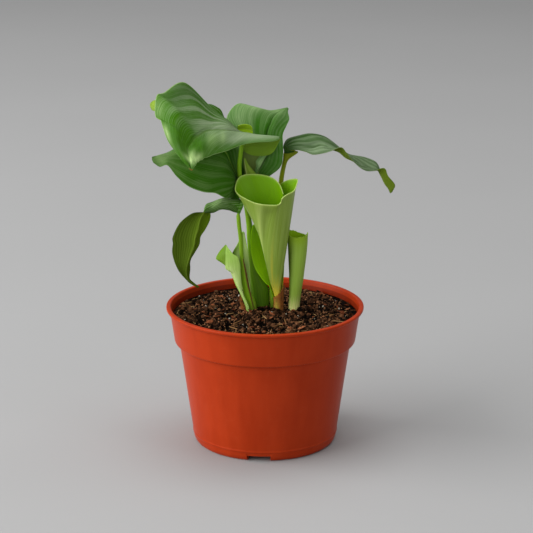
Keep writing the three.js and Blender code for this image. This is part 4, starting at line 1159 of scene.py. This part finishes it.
def turned_frames(random, count, tilt):
    """Random turns about the upright axis, after a random tilt of up to that many degrees."""
    ends = [[2 * math.pi], [math.radians(tilt)], [2 * math.pi]]
    heading, lean, axis = random.uniform(0, 1, (3, count)) * ends
    c, s, o = np.cos(heading), np.sin(heading), np.zeros(count)
    level = spread(c, -s, o, s, c, o, o, o, o + 1).reshape(-1, 3, 3)
    ax, ay = np.cos(axis), np.sin(axis)
    c, s = np.cos(lean), np.sin(lean)
    tip = spread(c + ax * ax * (1 - c), ax * ay * (1 - c), ay * s,
                 ax * ay * (1 - c), c + ay * ay * (1 - c), -ax * s,
                 -ay * s, ax * s, c).reshape(-1, 3, 3)
    return tip @ level


def strewn(name, finish, shape, count, seed, sizes, sink, tilt, rough):
    """Loose bits on the soil: copies of one shape, each with its own size, turn and place, and
    with its points pushed in and out at random."""
    random = np.random.default_rng(seed)
    points, faces = shape
    turn = np.radians(random.uniform(0, 360, count))
    radius = STREWN_REACH * np.sqrt(random.uniform(0.01, 1, count))
    x, y = radius * np.cos(turn), radius * np.sin(turn)
    scale = random.uniform(*np.array(sizes, float).T[:, None, :], (count, 3))
    z = soil_top(x, y)[0] + scale[:, 2] * sink
    copies = points[None] * (1 + rough * random.uniform(-1, 1, (count, len(points), 1)))
    copies = np.einsum("nij,nvj->nvi", turned_frames(random, count, tilt), copies * scale[:, None, :])
    copies = copies + spread(x, y, z)[:, None, :]
    shift = np.arange(count)[:, None, None] * len(points)
    faces = [(shift + part).reshape(-1, part.shape[1]) for part in faces]
    tone = np.repeat(random.uniform(0, 1, count) ** 2.4, len(points))
    fit("soil", name, finish, (copies.reshape(-1, 3), faces, {"tone": tone}), 60)


# Making the pieces. Veins are given as side_veins reads them, and tones as soft_patches does

PLAIN_VEINS = ((2, [1, 1], [0, 0]), (2, [1, 1], [0, 0]))
LEAF_A_VEINS = (
    (-2, [1, 1], [0.3, 9.3]),
    (1, [0.07, 0.07, 0.07, 0.07, 0.2, 0.25, 0.28, 0.3, 0.32, 0.34, 0.36],
     [-2.4, -2.4, -2.4, -2.4, 0, -0.08, -0.29, -0.33, -0.31, -0.29, -0.28]),
)
# In these tones the pale patches are painted highlights, the shade patches painted light and shade, and the
# silver patches partly the leaf's own markings and partly painted sheen.
LEAF_A_TONES = {
    "stripes": ([(0.4, 0.45, 0.1, 0.42, 0.5), (0.62, 0.6, 0.16, 0.4, 0.07)], 0.0),
    "silver": ([(0.13, -0.35, 0.2, 0.5, 0.7), (0.3, 0.15, 0.1, 0.35, 0.5), (0.45, 0.5, 0.14, 0.4, 0.3),
                (0.44, 0.12, 0.1, 0.12, 0.35), (0.27, -0.55, 0.06, 0.25, 0.35)], 0.02),
    "pale": ([(0.8, -0.6, 0.1, 0.28, 0.6), (0.68, -0.85, 0.14, 0.15, 0.75), (0.88, -0.3, 0.06, 0.3, 0.5),
              (0.83, 0.88, 0.05, 0.12, 0.55), (0.93, 0.0, 0.022, 0.35, 0.9), (0.9, -0.5, 0.03, 0.3, 0.5),
              (0.34, -0.35, 0.012, 0.3, 0.25), (0.63, 0.9, 0.06, 0.12, 0.17),
              (0.4, -0.4, 0.05, 0.3, 0.25)], 0.0),
    "shade": ([(0.47, 0.8, 0.06, 0.22, -0.45), (0.86, 0.4, 0.07, 0.3, -0.1),
               (0.6, 0.07, 0.25, 0.015, -0.4)], 1.0),
}
LEAF_B_VEINS = ((4, [1, 1, 1, 1, 1.5, 2], [0.1, 0.6]), (5, [1, 1, 1, 1, 1.5, 2], [0.4, 0.9]))
LEAF_B_TONES = {
    "stripes": ([(0.62, -0.2, 0.15, 0.25, 0.12)], 0.12),
    "silver": ([(0.9, 0, 0.12, 1, 0.4), (0.75, -0.7, 0.25, 0.35, 0.5), (0.2, -0.5, 0.14, 0.5, 0.7)], 0.1),
    "shade": ([(0.55, -0.02, 0.14, 0.05, -0.4), (0.2, 0.5, 0.15, 0.4, -0.2), (0.2, -0.5, 0.12, 0.4, 0.7),
               (0.7, 0.5, 0.25, 0.4, -0.4)], 1.0),
}
LEAF_C_VEINS = ((4.4, [0.25, 0.6, 1, 1, 1.1, 1.5], [0.2, 0.2]), (5, [0.25, 0.6, 1, 1, 1.1, 1.5], [0, 0]))
LEAF_C_TONES = {
    "stripes": ([(0.85, 0, 0.15, 1, -0.1)], 0.2),
    "silver": ([(0.86, 0, 0.12, 1, 0.75), (0.35, -0.3, 0.2, 0.12, 0.12)], 0.12),
    "shade": ([(0.12, -0.4, 0.12, 0.5, -0.15)], 1.0),
}
LEAF_D_VEINS = ((4.5, [1, 1], [0, 3, 4.6, 5.4, 5.8, 6]), (4.5, [1, 1], [0.4, 3.4, 5, 5.8, 6.2, 6.4]))
LEAF_D_TONES = {
    "stripes": ([], 0.5),
    "silver": ([(0.2, 0.5, 0.07, 0.7, 0.6), (0, 0, 0.05, 2, -0.2)], 0.2),
    "shade": ([(0.05, 0.2, 0.08, 0.9, 0.8), (0.11, -1, 0.06, 0.3, -0.4), (0.22, 0.4, 0.06, 0.8, 0.4),
               (0.5, 0.5, 0.26, 0.45, 1.8)], 1.0),
}
LEAF_E_VEINS = (
    (3, [0.6, 1, 1, 1, 1, 1], [0, 1.5, 2, 4, 6, 7]),
    (2.5, [0.6, 1, 1, 1, 1, 1], [0.3, 1.2, 2, 4, 6, 7]),
)
LEAF_E_TONES = {
    "stripes": ([], 0.35),
    "silver": ([(0, 0, 0.1, 1.5, -0.7), (0.2, 0.5, 0.12, 0.5, 0.3), (0.2, -0.7, 0.15, 0.4, -0.35)], 0.5),
    "shade": ([(0.2, -0.17, 0.14, 0.05, -0.3)], 1.0),
}

# Leaf finishes: deep green, silver, pale green, underside and midrib. The silver also colours the
# painted sheen and the pale green the painted highlights; leaf A's underside and the curled edges
# are lighter than their own greens, as painted light against the shade they sit in.
LEAF_A_FINISH = leaf_finish("leaf_a_upper_silver", (58, 108, 4), (152, 170, 134), (184, 214, 140),
                            (114, 152, 20), (84, 120, 44), tip=0.7, lane_width=0.55)
LEAF_B_FINISH = leaf_finish("leaf_b_upper_silver", (48, 104, 2), (138, 166, 112), (160, 192, 128),
                            (84, 116, 26), (40, 80, 12))
LEAF_C_FINISH = leaf_finish("leaf_c_dark_stripes", (50, 100, 2), (122, 152, 90), (156, 188, 116),
                            (60, 92, 16), (132, 168, 60))
LEAF_D_FINISH = leaf_finish("leaf_d_silver_olive", (50, 92, 10), (122, 148, 96), (106, 128, 40),
                            (56, 76, 0), (84, 112, 40), gloss=0.8)
LEAF_E_FINISH = leaf_finish("leaf_e_silver_olive", (40, 72, 18), (116, 136, 102), (126, 140, 76),
                            (88, 110, 14), (80, 108, 54), gloss=0.55)
CURL_FINISH = leaf_finish("curled_edge_green", (130, 170, 24), (146, 184, 50), (200, 220, 110),
                          (150, 192, 20), (150, 186, 50))

fit("leaf_a_blade", "leaf_a", LEAF_A_FINISH, blade(LEAF_A, 200, 115, LEAF_A_VEINS, LEAF_A_TONES, 1.0))
fit("leaf_a_blade", "leaf_a_back_bump", LEAF_A_FINISH,
    blade(BACK_BUMP, 24, 25, PLAIN_VEINS, {"silver": ([], 0.1)}))
# the curl at the left is darkened by its shade value, as painted shade
fit("leaf_a_blade", "leaf_a_curls", CURL_FINISH,
    joined([lobe(CURL_BY_STALK), lobe(CURL_AT_LEFT, shade=0.7, pale=0.2)]))
fit("leaf_b_blade", "leaf_b", LEAF_B_FINISH, blade(LEAF_B, 140, 81, LEAF_B_VEINS, LEAF_B_TONES, 0.5))
fit("leaf_c_blade", "leaf_c", LEAF_C_FINISH, blade(LEAF_C, 150, 91, LEAF_C_VEINS, LEAF_C_TONES, 0.7))
fit("leaf_d_blade", "leaf_d", LEAF_D_FINISH,
    blade(LEAF_D, 180, 61, LEAF_D_VEINS, LEAF_D_TONES, 0.3, swell=0.12))
fit("leaf_e_blade", "leaf_e", LEAF_E_FINISH,
    blade(LEAF_E, 190, 61, LEAF_E_VEINS, LEAF_E_TONES, 0.3, swell=0.12))
# the lobes' shade values above 1 brighten them, as painted light
fit("leaf_c_blade", "leaf_c_lobe", LEAF_C_FINISH, lobe(LEAF_C_LOBE, silver=-0.2, shade=1.6))
fit("leaf_d_blade", "leaf_d_lobe", LEAF_D_FINISH, lobe(LEAF_D_LOBE, silver=0.12, shade=1.75))
fit("leaf_e_blade", "leaf_e_lobe", LEAF_E_FINISH, lobe(LEAF_E_LOBE, silver=-0.6))

# Stalk and sheath finishes: pale green, deep green and the colour of the foot
STALK_GREEN = streaked_finish("stalk_green", (140, 182, 34), (102, 144, 16), (84, 104, 24))
BIG_STALK_GREEN = streaked_finish("big_stalk_green", (140, 186, 30), (96, 138, 12), (74, 112, 12), (106, 170))
BROWNISH_STALK = streaked_finish("brownish_stalk", (146, 162, 8), (102, 112, 4), (84, 104, 24))
for letter, foot, stations, green in (
    ("a", FOOT_A, STALK_A, BIG_STALK_GREEN),
    ("b", FOOT_B, STALK_B, STALK_GREEN),
    ("c", FOOT_C, STALK_C, STALK_GREEN),
    ("d", FOOT_D, STALK_D, STALK_GREEN),
    ("e", FOOT_E, STALK_E, BROWNISH_STALK),
):
    name = f"leaf_{letter}_stalk"
    fit(name, name + "_fine", green, stalk(foot, stations, beyond=0.7))

SHEATH_TIP_GREEN = streaked_finish("sheath_tip_olive", (146, 178, 60), (112, 144, 36), (96, 110, 40),
                                   (180, 190), dark=(84, 100, 50), white=(206, 224, 130))
fit("leaf_b_stalk", "sheath_tip", SHEATH_TIP_GREEN, joined([
    ribbed_blade(SHEATH_TIP, 60, 31, 9, 0.08, {"white": [(0.7, -1, 0.5, 0.25, 0.9)]}),
    # the half behind is darkened all over, as painted shade
    ribbed_blade(SHEATH_BACK, 30, 31, 9, 0.08, {"dark": [(0.5, 0, 2, 3, 0.75)]}),
]))
WEB_GREEN = streaked_finish("sheath_web_green", (140, 186, 34), (102, 144, 16), (84, 104, 24),
                            dark=(96, 56, 34))
fit("leaf_d_stalk", "sheath_web", WEB_GREEN,
    ribbed_blade(SHEATH_WEB, 80, 31, 7, 0.05, {"dark": [(0.5, 1, 2, 0.7, 1.4)]}))

# The rolled leaf's bright inside green is partly its own and partly painted light shining through it.
YOUNG_GREEN = streaked_finish("young_leaf_green", (152, 178, 82), (120, 148, 42), (204, 182, 50),
                              (112, 138), inside=(118, 170, 2), white=(206, 226, 130))
fit("young_leaf_cone", "rolled_young_leaf", YOUNG_GREEN, joined([
    sheet(cone_surface(100, 230), 0.3, 6.0, {
        # the first white patch, down the left side, is a painted highlight
        "white": [(0.5, -0.07, 0.5, 0.05, 0.5), (1.0, 0, 0.007, 9, 0.6)],
        "worn": [(0.2, 0.23, 0.3, 0.03, 0.5)],
        # the dark patches under the rim are painted shade
        "dark": [(0.94, 0.05, 0.05, 0.12, 0.2), (0.78, -0.01, 0.24, 0.07, 0.4)],
    }),
    stalk(FOOT_CONE, [[10.6, 0, 120, 2.6, 2.6]], rings=40),
]))
# The spoon leaf's greens are partly its own and partly painted light: it is made bright, as if lit through,
# in the shade behind the rolled leaf.
SPOON_GREEN = streaked_finish("spoon_leaf_green", (164, 218, 14), (130, 188, 6), (130, 150, 40), (100, 122))
fit("young_leaf_spoon", "spoon_leaf", SPOON_GREEN, ribbed_blade(SPOON, 80, 49, 14, 0.06))

# The cut sheath's inside green is made lighter, as painted light.
STUB_GREEN = streaked_finish("cut_sheath_green", (150, 182, 76), (128, 162, 48), (226, 226, 146), (102, 119),
                             inside=(148, 192, 12), dark=(62, 82, 8), white=(134, 168, 24))
fit("cut_sheath_stub", "cut_sheath", STUB_GREEN, sheet(
    rolled_surface(STUB_SECTIONS, STUB_TURN, STUB_RIM, 60, 150, 0.5, 3), 0.35, 5.0, {
        # the second dark patch, down the left side, is the painted shadow of the rolled leaf
        "dark": [(1.0, 0.55, 0.04, 0.06, 1.2), (0.7, -0.42, 0.35, 0.2, 0.95), (0.27, 0.36, 0.06, 0.05, 0.8)],
        "white": [(1.0, 0.0, 0.09, 0.5, 0.9)],
    }))
TORN_GREEN = streaked_finish("torn_sheath_pale", (178, 216, 108), (142, 186, 64), (146, 178, 84), (104, 114),
                             dark=(100, 138, 6), white=(214, 232, 160))
fit("torn_sheath_front", "torn_sheath_front_fine", TORN_GREEN, torn_front())
fit("torn_sheath_back", "torn_sheath_back_fine", TORN_GREEN,
    ribbed_blade(TORN_BACK, 80, 45, 12, 0.07, {
        "dark": [(0.72, -1, 0.12, 0.35, 0.8)],
        "white": [(0.68, -0.45, 0.1, 0.25, 0.5), (0.7, 0.6, 0.3, 0.4, 0.5)],
    }))

DRY_BROWN = paper_finish("dry_papery_brown", (166, 98, 36), (78, 42, 14), (170, 160, 50))
fit("brown_cone_sheath", "papery_cone_sheath", DRY_BROWN, sheet(
    rolled_surface(PAPER_SECTIONS, PAPER_TURN, PAPER_RIM, 50, 90, 1.2, 5), 0.2, 4.0, {
        "dark": [(1, 0.1, 0.4, 0.35, 0.9)],
        "white": [(0.6, -0.75, 0.25, 0.2, 0.9), (0.5, 0.15, 0.4, 0.2, 0.5)],
    }))
fit("brown_scale", "papery_scale", DRY_BROWN,
    ribbed_blade(BROWN_SCALE, 40, 21, 7, 0.06, half=0.22))

points, faces, marks = pot_body()
dress(drilled(add_piece("moulded_pot", points, faces, pot_finish(), marks, 50)), "pot")

fit("soil", "soil_mound", soil_finish(), soil_body(), 180)
CRUMB = loose_finish("peat_crumbs", (12, 6, 3), (112, 74, 48))
GRAIN = loose_finish("peat_grains", (14, 8, 4), (168, 118, 82))
BARK = loose_finish("bark_chips", (84, 42, 22), (156, 94, 60), 0.8)
TAN = loose_finish("tan_fibres", (120, 84, 50), (186, 150, 100), 0.8)
PALE = loose_finish("white_grit", (150, 140, 122), (214, 206, 190), 0.9)
strewn("soil_crumbs_fine", GRAIN, ball(), 2200, 11, [(0.4, 1.3), (0.4, 1.0), (0.3, 0.8)], 0.4, 180, 0.35)
strewn("soil_crumbs_coarse", CRUMB, ball(7, 4), 320, 12, [(1.2, 3.0), (1.0, 2.4), (0.9, 2.0)], 0, 180, 0.35)
strewn("bark_chips", BARK, ball(), 130, 13, [(1.4, 4.0), (0.7, 1.6), (0.4, 0.9)], 0.5, 40, 0.35)
strewn("tan_fibres", TAN, fibre(), 90, 14, [(2.5, 6.0), (0.22, 0.45), (0.22, 0.45)], 1.5, 22, 0.0)
strewn("white_grit", PALE, ball(), 45, 15, [(0.5, 1.2), (0.5, 1.1), (0.4, 0.9)], 0.4, 180, 0.2)

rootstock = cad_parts["rhizome"]
rootstock.data.materials.clear()
rootstock.data.materials.append(rhizome_finish())

# Floor, light and camera


def add_floor():
    """A wide plain floor under the pot."""
    corners = FLOOR_SIDE * np.array([[-1, -1, 0], [1, -1, 0], [1, 1, 0], [-1, 1, 0]])
    floor = add_piece("pale_floor", corners, [np.array([[0, 1, 2, 3]])], floor_finish(), {})
    floor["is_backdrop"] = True


def add_softbox(name, place, aim, size, power):
    """An oblong soft light at a place in metres that faces the point it is aimed at."""
    data = bpy.data.lights.new(name, "AREA")
    data.shape = "RECTANGLE"
    data.size, data.size_y = size
    data.energy = power
    lamp = bpy.data.objects.new(name, data)
    bpy.context.scene.collection.objects.link(lamp)
    lamp.location = place
    x, y, z = np.array(place, float) - aim
    lamp.rotation_euler = (math.atan2(math.hypot(x, y), z), 0, math.atan2(x, -y))


def add_camera():
    """A long lens in front of the plant, tilted down as the photograph was taken."""
    data = bpy.data.cameras.new("camera")
    data.lens = LENS
    data.sensor_width = 36
    data.clip_end = 30
    camera = bpy.data.objects.new("camera", data)
    bpy.context.scene.collection.objects.link(camera)
    camera.location = np.array(CAMERA) * MM
    camera.rotation_euler = (math.radians(90 - CAMERA_TILT), 0, 0)
    bpy.context.scene.camera = camera


def add_sky(grey, strength):
    """Even grey light from all round."""
    world = bpy.data.worlds.new("grey_room")
    world.use_nodes = True
    background = world.node_tree.nodes["Background"]
    background.inputs["Color"].default_value = (grey, grey, grey, 1)
    background.inputs["Strength"].default_value = strength
    bpy.context.scene.world = world


add_floor()
add_softbox("window_left", (-2.6, -0.63, 1.35), (0, 0, 0.14), (3.6, 2.3), 132)
add_softbox("ceiling", (0.2, 0.5, 3.3), (0, 0, 0.15), (3.2, 2.5), 71)
add_softbox("front", (-0.4, -1.9, 0.9), (0, 0, 0.16), (1.3, 1.0), 6.5)
add_softbox("fill_right", (1.4, -0.9, 0.6), (0, 0, 0.16), (0.5, 1.0), 3)
add_sky(0.8, 0.25)
add_camera()
bpy.context.scene.view_settings.view_transform = "Standard"

visual_box = [list(corner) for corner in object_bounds()]
